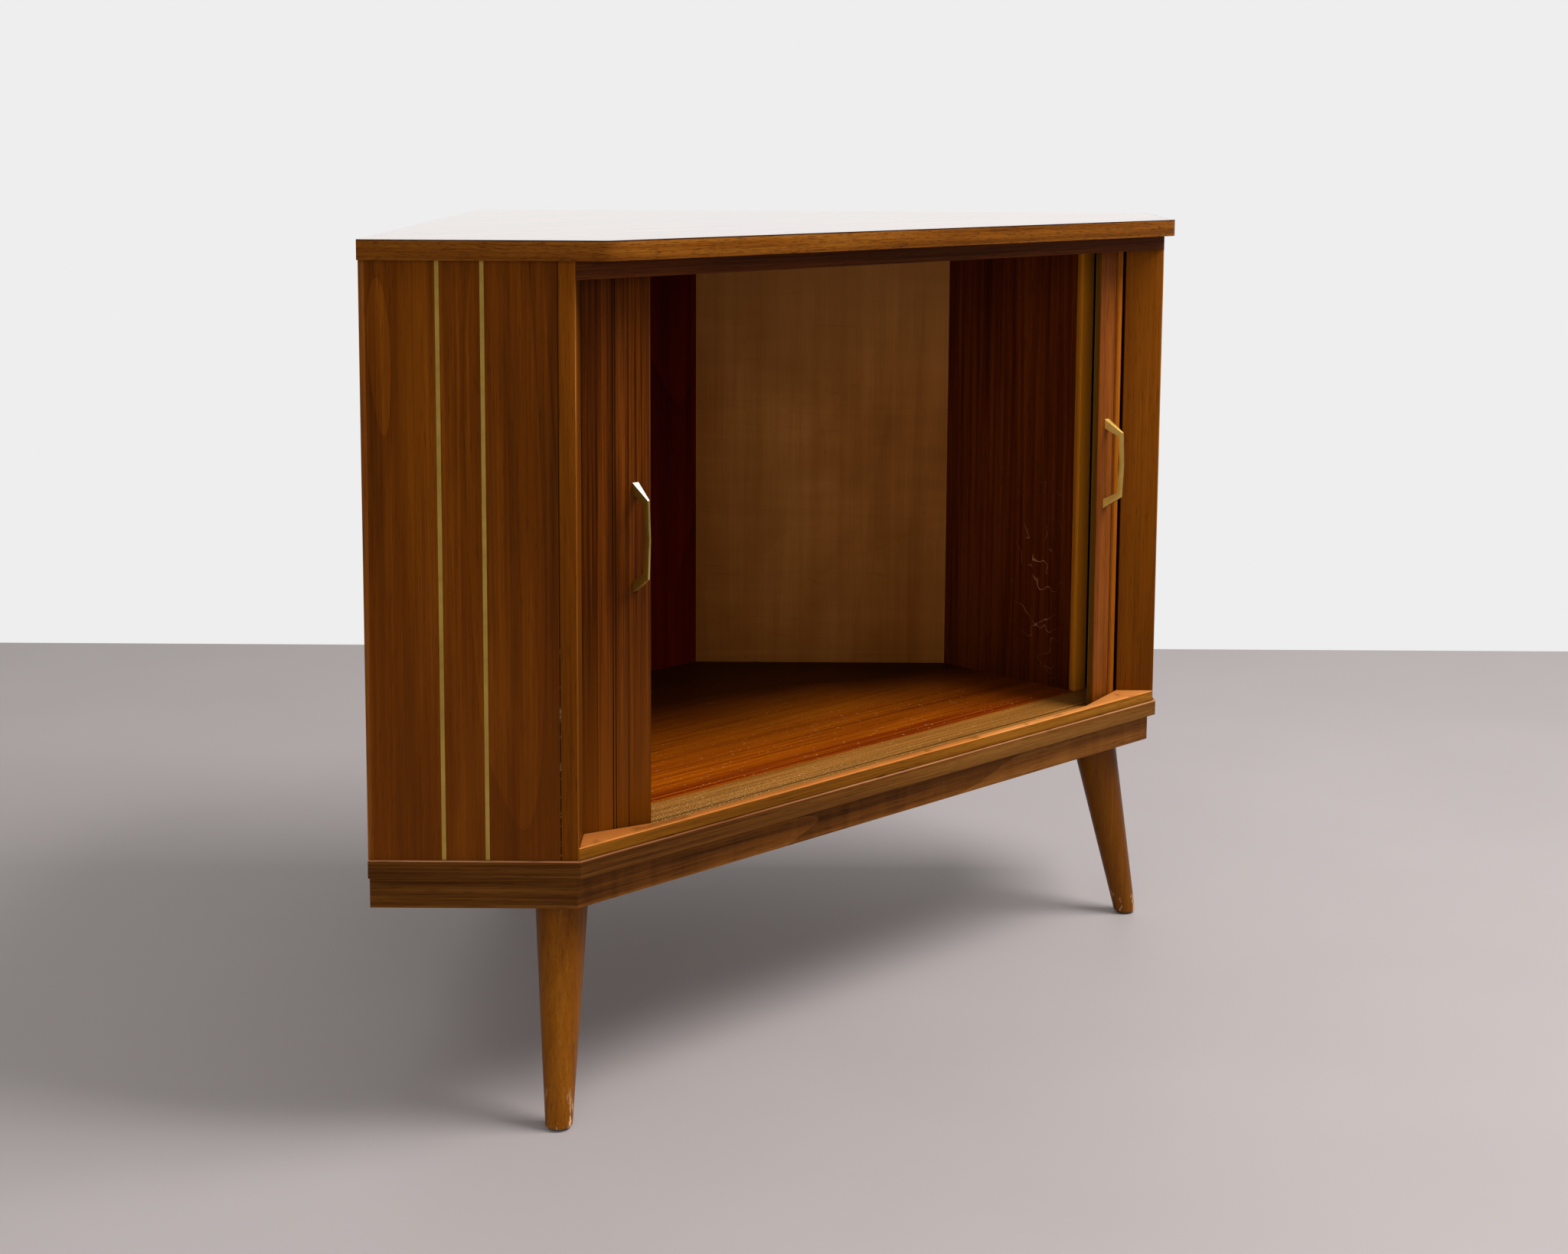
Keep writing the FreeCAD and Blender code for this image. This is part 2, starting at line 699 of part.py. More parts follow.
# Legs: turned and tapered, cut level under the leg block, leaning outward
splay = math.atan2(size("leg_splay_out").value, apron_bottom.value)
leg_inward = size("leg_inward")
leg_along = size("leg_along")
LEGS = {
    "front_left": (numbers(corner_point(LEFT, leg_inward, leg_along)), V(-1, -1, 0)),
    "front_right": (numbers(corner_point(RIGHT, leg_inward, leg_along)), V(1, -1, 0)),
    "rear": (numbers(row_point(0, back_corner_depth - size("rear_leg_back"))), V(0, 1, 0)),
}


def leg_frame(name):
    """The middle of a leg's top and the way down the leg."""
    (x, y), way = LEGS[name]
    down = unit(way) * math.sin(splay) - V(0, 0, 1) * math.cos(splay)
    return V(x, y, apron_bottom.value), down


def leg_length():
    """Top to foot along the leg's line, so that the glide's low edge meets the floor."""
    glide_drop = size("glide_radius").value * math.sin(splay)
    return (apron_bottom.value - glide_drop) / math.cos(splay) - size("glide_height").value


def turned(name, edges):
    """A turned solid from the edges of its half profile, drawn upright under the leg's top."""
    top, down = leg_frame(name)
    solid = Part.Face(Part.Wire(edges)).revolve(V(), V(0, 0, 1), 360)
    solid.Placement = FreeCAD.Placement(top, FreeCAD.Rotation(V(0, 0, -1), down))
    return solid


def level_space(low, high):
    """All space between two heights, to trim a leaning piece level."""
    reach = 2 * wall_length.value
    return Part.makeBox(2 * reach, 2 * reach, high - low, V(-reach, -reach, low))


def stud_solid(name):
    top, down = leg_frame(name)
    half = size("stud_length").value / 2
    return Part.makeCylinder(size("stud_radius").value, 2 * half, top - down * half, down)


def leg_solid(name):
    """A tapered leg with a rounded foot."""
    top_radius = size("leg_top_radius").value
    foot_radius = size("leg_foot_radius").value
    rounding = size("leg_foot_round").value
    length = leg_length()
    above = top_radius  # blank above the level cut
    slope = (top_radius - foot_radius) / length
    head = V(top_radius + slope * above, 0, above)
    ankle = V(foot_radius, 0, rounding - length)
    foot_edge = V(foot_radius - rounding, 0, -length)
    round_middle = foot_edge + V(rounding, 0, rounding) * HALF_ROOT.value
    round_middle.z = foot_edge.z + rounding * (1 - HALF_ROOT.value)
    edges = [
        Part.LineSegment(V(0, 0, above), head).toShape(),
        Part.LineSegment(head, ankle).toShape(),
        Part.Arc(ankle, round_middle, foot_edge).toShape(),
        Part.LineSegment(foot_edge, V(0, 0, -length)).toShape(),
        Part.LineSegment(V(0, 0, -length), V(0, 0, above)).toShape(),
    ]
    leg = turned(name, edges).common(level_space(0, apron_bottom.value))
    return leg.cut(stud_solid(name))


def glide_solid(name):
    """A glide with its underside cut level on the floor."""
    start = -leg_length()
    end = start - 2 * size("glide_height").value
    radius = size("glide_radius").value
    outline = Part.makePolygon([V(0, 0, start), V(radius, 0, start), V(radius, 0, end),
                                V(0, 0, end), V(0, 0, start)])
    return turned(name, outline.Edges).common(level_space(0, apron_bottom.value))


for name in LEGS:
    node(shape_item(f"leg_{name}_turned", leg_solid(name)), f"leg_{name}")
node(shape_item("glides", Part.makeCompound([glide_solid(name) for name in LEGS])), "leg_glides")
studs = node(shape_item("studs", Part.makeCompound([stud_solid(name) for name in LEGS])), "leg_studs")

# Leg blocks under the board, inside the apron
block_inward = size("block_inward")
for side in (LEFT, RIGHT):
    name = SIDE_NAME[side]
    corners = [
        corner_point(side, apron_inner, apron_inner * TAN_HALF_45),
        corner_point(side, apron_inner, size("block_along")),
        corner_point(side, block_inward, size("block_along")),
        corner_point(side, block_inward, apron_inner * ROOT - block_inward),
    ]
    block = plate(f"block_{name}", corners, apron_bottom, board_bottom)
    node(cut(f"block_{name}_bored", block, studs), f"leg_block_{name}")
block_tip = back_corner_depth - apron_thickness * ROOT
block_wide = block_inward * HALF_ROOT + apron_thickness
block_depth = size("rear_leg_back") + size("leg_top_radius")
corners = [
    row_point(0, block_tip),
    row_point(block_wide * -1, block_tip - block_wide),
    row_point(block_wide * -1, back_corner_depth - block_depth),
    row_point(block_wide, back_corner_depth - block_depth),
    row_point(block_wide, block_tip - block_wide),
]
block = plate("block_rear", corners, apron_bottom, board_bottom)
node(cut("block_rear_bored", block, studs), "leg_block_rear")


# Tambour leaves
def slat(start, end, side):
    """One slat between two distances along the track."""
    gap = size("slat_gap").value / 2
    arris = size("slat_arris").value
    thickness = slat_thickness.value
    a = track_spot(start + gap)
    b = track_spot(end - gap)
    way = unit(b - a)
    out = V(way.y, -way.x, 0)
    corners = [a, b, b + out * (thickness - arris), b + out * thickness - way * arris,
               a + out * thickness + way * arris, a + out * (thickness - arris)]
    solid = prism([(p.x, p.y) for p in corners], slat_bottom, slat_top)
    return mirrored(solid, side)


def canvas(starts, pitch, side):
    """The canvas on the backs of a run of slats, as one strip."""
    gap = size("slat_gap").value / 2
    thickness = size("canvas_thickness").value
    line = []
    for start in starts:
        line.append(track_spot(start + gap))
        line.append(track_spot(start + pitch - gap))
    ways = [unit(b - a) for a, b in zip(line, line[1:])]
    inner = []
    for k, point in enumerate(line):
        before = ways[max(k - 1, 0)]
        after = ways[min(k, len(ways) - 1)]
        normal = unit(V(-before.y - after.y, before.x + after.x, 0))
        inner.append(point + normal * (thickness / normal.dot(V(-after.y, after.x, 0))))
    outline = [(p.x, p.y) for p in line + inner[::-1]]
    return mirrored(prism(outline, slat_bottom, slat_top), side)


def pull_solid(middle_x, face_y):
    """A bracket pull: two splayed feet and a slightly bowed grip."""
    z = size("pull_height").value
    half = size("pull_half").value
    grip = size("pull_grip_half").value
    reach = size("pull_reach").value
    bow = size("pull_bow").value
    foot = size("pull_foot").value
    thick = size("pull_grip_thickness").value

    def side_arc(grip_half, grip_reach):
        ends = [V(0, face_y - grip_reach, z + way * grip_half) for way in (1, -1)]
        middle = V(0, face_y - grip_reach - bow, z)
        return Part.Arc(ends[0], middle, ends[1]).toShape()

    inner_grip = grip - thick
    outer_arc = side_arc(grip, reach)
    inner_arc = side_arc(inner_grip, reach - thick)
    edges = [outer_arc, inner_arc]
    for way in (1, -1):
        outer_foot = V(0, face_y, z + way * half)
        inner_foot = V(0, face_y, z + way * (half - foot))
        outer_end = V(0, face_y - reach, z + way * grip)
        inner_end = V(0, face_y - reach + thick, z + way * inner_grip)
        edges.append(Part.LineSegment(outer_end, outer_foot).toShape())
        edges.append(Part.LineSegment(outer_foot, inner_foot).toShape())
        edges.append(Part.LineSegment(inner_foot, inner_end).toShape())
    foot_width = size("pull_foot_width").value
    grip_width = size("pull_grip_width").value
    profile = Part.Face(Part.Wire(Part.__sortEdges__(edges))).extrude(V(foot_width, 0, 0))
    profile.translate(V(middle_x - foot_width / 2, 0, 0))
    front = [(foot_width, half), (grip_width, grip), (grip_width, -grip), (foot_width, -half)]
    outline = [V(middle_x + w / 2, 0, z + h) for w, h in front]
    outline += [V(middle_x - w / 2, 0, z + h) for w, h in reversed(front)]
    start_y = face_y - reach - 2 * bow
    waist = Part.Face(Part.makePolygon(outline + [outline[0]])).extrude(V(0, reach + 2 * bow, 0))
    waist.translate(V(0, start_y, 0))
    return profile.common(waist)


def screw_solids(middle_x, face_y):
    """The two screws of a pull, driven from behind the lead slat."""
    solids = []
    back = face_y + slat_thickness.value + size("canvas_thickness").value
    shank = back - face_y + size("screw_bite").value
    head = size("screw_head_height").value
    offset = size("pull_half").value - size("pull_foot").value / 2
    forward = V(0, -1, 0)
    for way in (1, -1):
        z = size("pull_height").value + way * offset
        screw = Part.makeCylinder(size("screw_radius").value, shank, V(middle_x, back, z), forward)
        cap = Part.makeCylinder(size("screw_head_radius").value, head,
                                V(middle_x, back + head, z), forward)
        solids.append(screw.fuse(cap).removeSplitter())
    return Part.makeCompound(solids)


CORNER_SLATS = 3  # slats of the stored run that stand on the bend behind the post
lead_width = size("lead_width").value
pitch = size("slat_pitch").value
gather_clearance = size("gather_clearance").value
drawn_out = size("gather_width").value + 2 * gather_clearance
bend_start = track_pieces(0)[0][1].x
groove_length = sum(edge.Length for edge in track_edges(0))
pocket_length = groove_length - (bend_start - size("right_shows").value) - lead_width - drawn_out
slats_behind_lead = int(pocket_length / pitch)
canvas_y = numbers(row_point(0, track_back))[1]
face_y = canvas_y - slat_thickness.value
for side, shows, riding in ((LEFT, "left_shows", 1), (RIGHT, "right_shows", 0)):
    name = SIDE_NAME[side]
    lead = bend_start - size(shows).value
    pull_x = side * (lead + size(f"pull_edge_{name}").value)
    screws = node(shape_item(f"screws_{name}", screw_solids(pull_x, face_y)), f"pull_screws_{name}")
    pull = shape_item(f"pull_{name}_cast", pull_solid(pull_x, face_y))
    node(cut(f"pull_{name}_tapped", pull, screws), f"pull_{name}")
    lead_slat = shape_item(f"lead_{name}_blank", slat(lead, lead + lead_width, side))
    node(cut(f"lead_{name}_bored", lead_slat, screws), f"lead_slat_{name}")
    riding_end = lead + lead_width + riding * pitch
    if riding:
        riding_starts = [lead + lead_width + k * pitch for k in range(riding)]
        riding_slats = [slat(start, start + pitch, side) for start in riding_starts]
        node(shape_item(f"riding_{name}", Part.makeCompound(riding_slats)), f"leaf_slats_{name}")
    gap = size("slat_gap").value / 2
    leaf_back = prism([(side * (lead + gap), canvas_y), (side * (riding_end - gap), canvas_y),
                       (side * (riding_end - gap), canvas_y + size("canvas_thickness").value),
                       (side * (lead + gap), canvas_y + size("canvas_thickness").value)],
                      slat_bottom, slat_top)
    leaf_canvas = shape_item(f"leaf_canvas_{name}_sheet", leaf_back)
    node(cut(f"leaf_canvas_{name}_bored", leaf_canvas, screws), f"leaf_canvas_{name}")
    gather_start = riding_end + gather_clearance
    gather_end = gather_start + size("gather_width").value
    gather_y = face_y + size("gather_inset").value
    gather = prism([(side * gather_start, canvas_y), (side * gather_end, canvas_y),
                    (side * gather_end, gather_y), (side * gather_start, gather_y)],
                   slat_bottom, slat_top)
    node(shape_item(f"gather_{name}", gather), f"gathered_slats_{name}")
    first = gather_end + gather_clearance
    starts = [first + k * pitch for k in range(slats_behind_lead - riding)]
    stored = [slat(start, start + pitch, side) for start in starts]
    node(shape_item(f"corner_{name}", Part.makeCompound(stored[:CORNER_SLATS])), f"corner_slats_{name}")
    node(shape_item(f"stored_{name}", Part.makeCompound(stored[CORNER_SLATS:])), f"stored_slats_{name}")
    node(shape_item(f"stored_canvas_{name}_strip", canvas(starts, pitch, side)), f"stored_canvas_{name}")

# Checks, then one file for each node
doc.recompute()
for item in doc.Objects:
    if "Invalid" in item.State or "Error" in item.State:
        raise RuntimeError(f"{item.Label} did not recompute: {item.State}")
os.makedirs("parts", exist_ok=True)
for item in nodes:
    if item.Shape.isNull() or not item.Shape.isValid() or not item.Shape.Solids:
        raise RuntimeError(f"{item.Label} has no valid solid")
    item.Shape.exportStep(f"parts/{item.Label}.step")
print(len(nodes), "nodes")
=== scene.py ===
# %% [markdown]
# A corner cabinet with two slatted sliding doors
#
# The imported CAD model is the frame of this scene. It already holds every board, slat and screw at
# its true place, so nothing of it is moved here. What Blender adds is what the saw and the lathe
# don't give: rubbed arrises, cast pulls, the curtain of slats between a door and its corner, and
# finishes. All lengths are metres. Z is up, the doors face -Y, and the floor is z = 0.

# %% Load the frame
import bpy
import json
import math
from mathutils import Matrix, Vector

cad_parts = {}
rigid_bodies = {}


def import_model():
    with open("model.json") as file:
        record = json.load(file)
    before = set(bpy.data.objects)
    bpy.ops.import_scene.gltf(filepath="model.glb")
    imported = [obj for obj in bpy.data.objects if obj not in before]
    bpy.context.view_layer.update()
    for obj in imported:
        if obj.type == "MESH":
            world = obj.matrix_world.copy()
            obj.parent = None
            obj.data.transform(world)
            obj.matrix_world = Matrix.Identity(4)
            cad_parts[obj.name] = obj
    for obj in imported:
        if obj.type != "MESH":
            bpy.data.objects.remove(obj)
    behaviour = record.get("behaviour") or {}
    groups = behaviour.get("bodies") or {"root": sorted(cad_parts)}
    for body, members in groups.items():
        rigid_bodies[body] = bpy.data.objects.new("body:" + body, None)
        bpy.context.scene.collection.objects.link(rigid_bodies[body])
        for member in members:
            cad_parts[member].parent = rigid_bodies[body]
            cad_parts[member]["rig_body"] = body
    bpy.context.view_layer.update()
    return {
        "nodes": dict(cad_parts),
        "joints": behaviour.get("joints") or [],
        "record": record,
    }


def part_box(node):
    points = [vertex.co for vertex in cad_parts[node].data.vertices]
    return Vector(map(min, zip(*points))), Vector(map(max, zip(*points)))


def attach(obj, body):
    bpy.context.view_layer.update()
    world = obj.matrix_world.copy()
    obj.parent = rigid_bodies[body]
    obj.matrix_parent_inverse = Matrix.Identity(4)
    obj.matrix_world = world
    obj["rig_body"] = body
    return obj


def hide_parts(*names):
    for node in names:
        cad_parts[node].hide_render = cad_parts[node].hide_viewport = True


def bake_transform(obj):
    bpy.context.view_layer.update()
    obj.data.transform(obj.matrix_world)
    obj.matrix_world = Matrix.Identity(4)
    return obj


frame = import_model()
NODES = frame["nodes"]

# %% [markdown]
# The camera
#
# The photograph was taken with a normal lens from a crouch, turned 45 degrees to the doors, so the
# left side panel faces it squarely. A camera could be aimed with a Track To constraint, but a
# fitted view is simply written down: its place, its turn, and how far the film is shifted.

# %% Camera
CAMERA_PLACE = (-1.6314, -1.7846, 0.859)
CAMERA_YAW = math.radians(44.99)
CAMERA_DIP = math.radians(7.31)
CAMERA_ROLL = math.radians(0.32)
FOCAL_LENGTH = 53.21  # millimetres, on a film that is 36 mm wide
FILM_SHIFT = -0.1247  # in widths of the film

def aim(yaw, dip, roll):
    """The turn of a camera that looks yaw to the right of +Y and dip below level."""
    ahead = Vector((math.sin(yaw) * math.cos(dip), math.cos(yaw) * math.cos(dip), -math.sin(dip)))
    level = Vector((math.cos(yaw), -math.sin(yaw), 0.0))
    upward = level.cross(ahead)
    right = level * math.cos(roll) + upward * math.sin(roll)
    upright = upward * math.cos(roll) - level * math.sin(roll)
    return Matrix((right, upright, -ahead)).transposed()

lens = bpy.data.cameras.new("photo_camera")
lens.lens = FOCAL_LENGTH
lens.shift_y = FILM_SHIFT
camera = bpy.data.objects.new("photo_camera", lens)
bpy.context.scene.collection.objects.link(camera)
turn = aim(CAMERA_YAW, CAMERA_DIP, CAMERA_ROLL).to_4x4()
camera.matrix_world = Matrix.Translation(CAMERA_PLACE) @ turn
bpy.context.scene.camera = camera
print("camera at", CAMERA_PLACE)

# %% [markdown]
# Small helpers for the modelling steps
#
# Blender's operators act on whatever is selected, and loading the frame leaves its nodes selected.
# So each step first clears the selection, then picks the one object it works on.

# %% Selection helpers
def only(piece):
    """Makes piece the one selected and active object."""
    bpy.ops.object.select_all(action="DESELECT")
    piece.select_set(True)
    bpy.context.view_layer.objects.active = piece

def start_piece(primitive, name, scale=(1, 1, 1), **place):
    """A new primitive as an object at the origin, with its place in its mesh."""
    bpy.ops.object.select_all(action="DESELECT")
    primitive(**place)
    piece = bpy.context.active_object
    piece.name = name
    piece.scale = scale
    bpy.ops.object.transform_apply(location=True, rotation=True, scale=True)
    return piece

def merge(piece, distance, flat_within=None):
    """Joins vertices closer than distance, dissolves flat faces, and sets the normals right."""
    only(piece)
    bpy.ops.object.mode_set(mode="EDIT")
    bpy.ops.mesh.select_all(action="SELECT")
    bpy.ops.mesh.remove_doubles(threshold=distance)
    if flat_within:
        bpy.ops.mesh.dissolve_limited(angle_limit=math.radians(flat_within))
    bpy.ops.mesh.normals_make_consistent(inside=False)
    bpy.ops.object.mode_set(mode="OBJECT")

def apply_modifiers(piece):
    """Applies every modifier on piece, in order."""
    only(piece)
    for modifier in list(piece.modifiers):
        bpy.ops.object.modifier_apply(modifier=modifier.name)

def smooth(piece, degrees):
    """Shades piece smooth, apart from edges sharper than degrees."""
    only(piece)
    bpy.ops.object.shade_smooth_by_angle(angle=math.radians(degrees))

def give(piece, *finishes):
    """Replaces the material slots of piece."""
    piece.data.materials.clear()
    for finish in finishes:
        piece.data.materials.append(finish)

print("helpers start in", bpy.context.mode, "mode")

# %% [markdown]
# Nodes from code
#
# A finish is a tree of nodes. It could be clicked together, but written down it can be read and
# repeated. Each helper adds one kind of node and returns its output socket, so that a finish reads
# like a sum. Every pattern reads Object coordinates, which stay on the wood whatever moves.

# %% Node helpers
def start_finish(name):
    """A new material with an output and a Principled shader."""
    finish = bpy.data.materials.new(name)
    finish.use_nodes = True
    tree = finish.node_tree
    tree.nodes.clear()
    output = tree.nodes.new("ShaderNodeOutputMaterial")
    shader = tree.nodes.new("ShaderNodeBsdfPrincipled")
    tree.links.new(shader.outputs["BSDF"], output.inputs["Surface"])
    return finish, tree, shader

def plug(tree, socket, value):
    """Links value to a socket if it is another socket, or else sets it."""
    if isinstance(value, bpy.types.NodeSocket):
        tree.links.new(value, socket)
    else:
        socket.default_value = value

def object_place(tree):
    """The Object coordinates of the point that is shaded."""
    return tree.nodes.new("ShaderNodeTexCoord").outputs["Object"]

def pattern(tree, where, scale, shift=(0, 0, 0), detail=2.0, rough=0.5, warp=0.0):
    """A noise from 0 to 1, with scale repeats per metre along X, Y and Z."""
    placed = tree.nodes.new("ShaderNodeMapping")
    plug(tree, placed.inputs["Vector"], where)
    placed.inputs["Location"].default_value = shift
    placed.inputs["Scale"].default_value = scale
    node = tree.nodes.new("ShaderNodeTexNoise")
    tree.links.new(placed.outputs["Vector"], node.inputs["Vector"])
    node.inputs["Scale"].default_value = 1.0
    node.inputs["Detail"].default_value = detail
    node.inputs["Roughness"].default_value = rough
    node.inputs["Distortion"].default_value = warp
    return node.outputs["Fac"]

def sums(tree, what, first, second=0.0):
    """One Math node."""
    node = tree.nodes.new("ShaderNodeMath")
    node.operation = what
    plug(tree, node.inputs[0], first)
    plug(tree, node.inputs[1], second)
    return node.outputs[0]

def plus(tree, first, second):
    """first + second."""
    return sums(tree, "ADD", first, second)

def times(tree, first, second):
    """first * second."""
    return sums(tree, "MULTIPLY", first, second)

print("sums, patterns and places are ready")

# %% [markdown]
# Masks and mixes
#
# A mark on real wood has a place, an edge and a strength. It could be painted, but a Map Range node
# makes one from any value: it cuts out the span that counts and stretches it to a mask from 0 to 1.
# A mask then mixes two colours. Colours are read off a picture as display values and turned linear.

# %% Masks and mixes
def spread(tree, value, low, high, to_low=0.0, to_high=1.0):
    """value from low..high, stretched to to_low..to_high and kept within it."""
    node = tree.nodes.new("ShaderNodeMapRange")
    plug(tree, node.inputs["Value"], value)
    node.inputs["From Min"].default_value = low
    node.inputs["From Max"].default_value = high
    node.inputs["To Min"].default_value = to_low
    node.inputs["To Max"].default_value = to_high
    return node.outputs["Result"]

def swing(tree, value, reach):
    """A noise, most of which lies within 0.3..0.7, stretched to -reach..reach."""
    return spread(tree, value, 0.3, 0.7, -reach, reach)

def between(tree, value, low, high, soft):
    """1 where value lies within low..high, with soft ends."""
    above = spread(tree, value, low - soft, low + soft)
    return times(tree, above, spread(tree, value, high - soft, high + soft, 1.0, 0.0))

def tint(tree, factor, first, second):
    """The colour first where factor is 0, and second where it is 1."""
    node = tree.nodes.new("ShaderNodeMix")
    node.data_type = "RGBA"
    plug(tree, node.inputs["Factor"], factor)
    plug(tree, node.inputs["A"], first)
    plug(tree, node.inputs["B"], second)
    return node.outputs["Result"]

def fade(tree, factor, first, second):
    """The same for plain values."""
    return plus(tree, first, times(tree, factor, sums(tree, "SUBTRACT", second, first)))

def axes_of(tree, where):
    """The X, Y and Z of a vector, as three sockets."""
    node = tree.nodes.new("ShaderNodeSeparateXYZ")
    plug(tree, node.inputs["Vector"], where)
    return node.outputs["X"], node.outputs["Y"], node.outputs["Z"]

def relief(tree, shader, height, strength, distance):
    """A bump from height, in metres."""
    node = tree.nodes.new("ShaderNodeBump")
    node.inputs["Strength"].default_value = strength
    node.inputs["Distance"].default_value = distance
    plug(tree, node.inputs["Height"], height)
    tree.links.new(node.outputs["Normal"], shader.inputs["Normal"])

def shade(red, green, blue):
    """A colour read off as 0-255 display values, as the linear one that a shader wants."""
    shares = (value / 255 for value in (red, green, blue))
    linear = [c / 12.92 if c <= 10 / 255 else ((c + 0.055) / 1.055) ** 2.4 for c in shares]
    return (*linear, 1.0)

print("mid grey in linear light:", round(shade(128, 128, 128)[0], 3))

# %% [markdown]
# Wood, as nodes
#
# Real veneer has layers of pattern: slow colour drift across a leaf, growth rings cut into arches,
# fine streaks, and open pores that catch the stain. A photograph could be wrapped round it, but a
# procedural finish has no seams and runs through the wood like real grain. Each layer is a noise
# that is stretched along the grain. The rings are nested arches: one slow noise is multiplied, and
# only what is left after the whole number is kept.

# %% Wood
UPRIGHT = (1, 1, 0)  # the axes that cross the grain are marked 1
LEVEL = (0, 0, 1)
ALONG_FRONT = (0, 1, 1)

# (repeats per metre across and along the grain, shift, and the noise's detail, roughness and warp)
GRAIN_LAYERS = {
    "drift": (9, 1.6, 0.0, 2.0, 0.5, 0.0),
    "slow": (6.5, 0.75, 4.0, 1.0, 0.4, 0.35),
    "streak": (330, 3.5, 9.0, 3.0, 0.6, 0.0),
    "band": (70, 1.2, 1.0, 2.0, 0.55, 0.0),
    "hair": (1100, 14.0, 5.0, 2.0, 0.6, 0.0),
    "pore": (1500, 45.0, 2.0, 1.0, 0.5, 0.0),
}
COARSE_LAYERS = ("drift", "slow")  # these keep their size when the grain gets finer
RIPPLE_ACROSS = 7
RIPPLE_ALONG = 60

def grain_layer(tree, where, across, kind, fine):
    """One layer of the grain, from 0 to 1."""
    crossing, running, offset, detail, rough, warp = GRAIN_LAYERS[kind]
    if kind not in COARSE_LAYERS:
        crossing = crossing * fine
    scale = tuple(crossing if axis else running for axis in across)
    return pattern(tree, where, scale, (3.1 + offset, 1.7, 2.3 - offset), detail, rough, warp)

def grain_of(tree, where, across, tones, rings=9.0, ring_depth=0.3, streaks=0.5, pores=0.45,
             bands=0.2, sheen=0.42, fine=1.0, curl=0.0):
    """The colour, roughness and height of a wood. tones are its dark, middle and light ones."""
    dark, middle, light = (shade(*tone) for tone in tones)
    drift, slow, streak, band, hair, pore = (
        grain_layer(tree, where, across, kind, fine) for kind in GRAIN_LAYERS)
    ring = sums(tree, "POWER", sums(tree, "FRACT", times(tree, slow, rings)), 1.6)
    pore = spread(tree, pore, 0.60, 0.70)

    tone = spread(tree, drift, 0.3, 0.7, 0.2, 0.8)
    tone = plus(tree, tone, swing(tree, band, bands))
    tone = plus(tree, tone, swing(tree, streak, 0.5 * streaks))
    tone = sums(tree, "SUBTRACT", tone, times(tree, ring, ring_depth))
    tone = plus(tree, tone, swing(tree, hair, 0.12))
    if curl:
        across_curl = tuple(RIPPLE_ACROSS if axis else RIPPLE_ALONG for axis in across)
        tone = plus(tree, tone, swing(tree, pattern(tree, where, across_curl, warp=0.6), curl))

    colour = tint(tree, spread(tree, tone, -0.1, 0.5), dark, middle)
    colour = tint(tree, spread(tree, tone, 0.5, 1.0), colour, light)
    stained = tuple(c * 0.35 for c in dark[:3]) + (1.0,)
    colour = tint(tree, times(tree, pore, pores), colour, stained)
    rough = spread(tree, streak, 0.2, 0.8, sheen - 0.06, sheen + 0.1)
    height = sums(tree, "SUBTRACT", times(tree, hair, 0.4), pore)
    return colour, rough, height

print("layers of grain:", ", ".join(GRAIN_LAYERS))

# %% Timber
PORE_DEPTH = 0.00018
VARNISH_ROUGHNESS = 0.09

def wire_up(tree, shader, grain, gloss, varnish):
    """Plugs a wood's colour, roughness and height into the shader, under its varnish."""
    colour, rough, height = grain
    plug(tree, shader.inputs["Base Color"], colour)
    plug(tree, shader.inputs["Roughness"], rough)
    plug(tree, shader.inputs["Specular IOR Level"], gloss)
    plug(tree, shader.inputs["Coat Weight"], varnish)
    shader.inputs["Coat Roughness"].default_value = VARNISH_ROUGHNESS
    relief(tree, shader, height, 0.35, PORE_DEPTH)

def timber(name, across, tones, gloss=0.03, varnish=0.0, touch=None, **layers):
    """A varnished wood. across says which axes cross the grain; touch adds marks and painted light
    of its own.
    """
    finish, tree, shader = start_finish(name)
    where = object_place(tree)
    colour, rough, height = grain_of(tree, where, across, tones, **layers)
    if touch:
        colour = touch(tree, where, colour)
    wire_up(tree, shader, (colour, rough, height), gloss, varnish)
    return finish

print("pores are", PORE_DEPTH * 1000, "mm deep")

# %% [markdown]
# Marks and painted shade on the floor board
#
# The varnish of the floor board stops short of the doors and leaves a raw strip, with a red edge
# where it ends. Dust and crumbs lie on the strip, and a dark chipped line follows the groove. They
# could be painted on an image, but a mask made from the coordinates needs none: it says where a
# mark begins and ends, and a noise makes its edge uneven. Below its veneer the board is plain.
# Painted shade darkens the board towards the back and towards the right.

# %% Marks and painted shade on the floor board
BOARD_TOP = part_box("front_curb")[0][2]  # the curb stands on the board
GROOVE_LINE = -0.2745
STRIP_BACK = -0.2335
RED_EDGE_BACK = -0.2080

def specks(tree, where, size, share):
    """Small round dots that cover about share of the surface."""
    dots = pattern(tree, where, (size, size, size), detail=1.0)
    return spread(tree, dots, 0.74 - share, 0.78 - share)

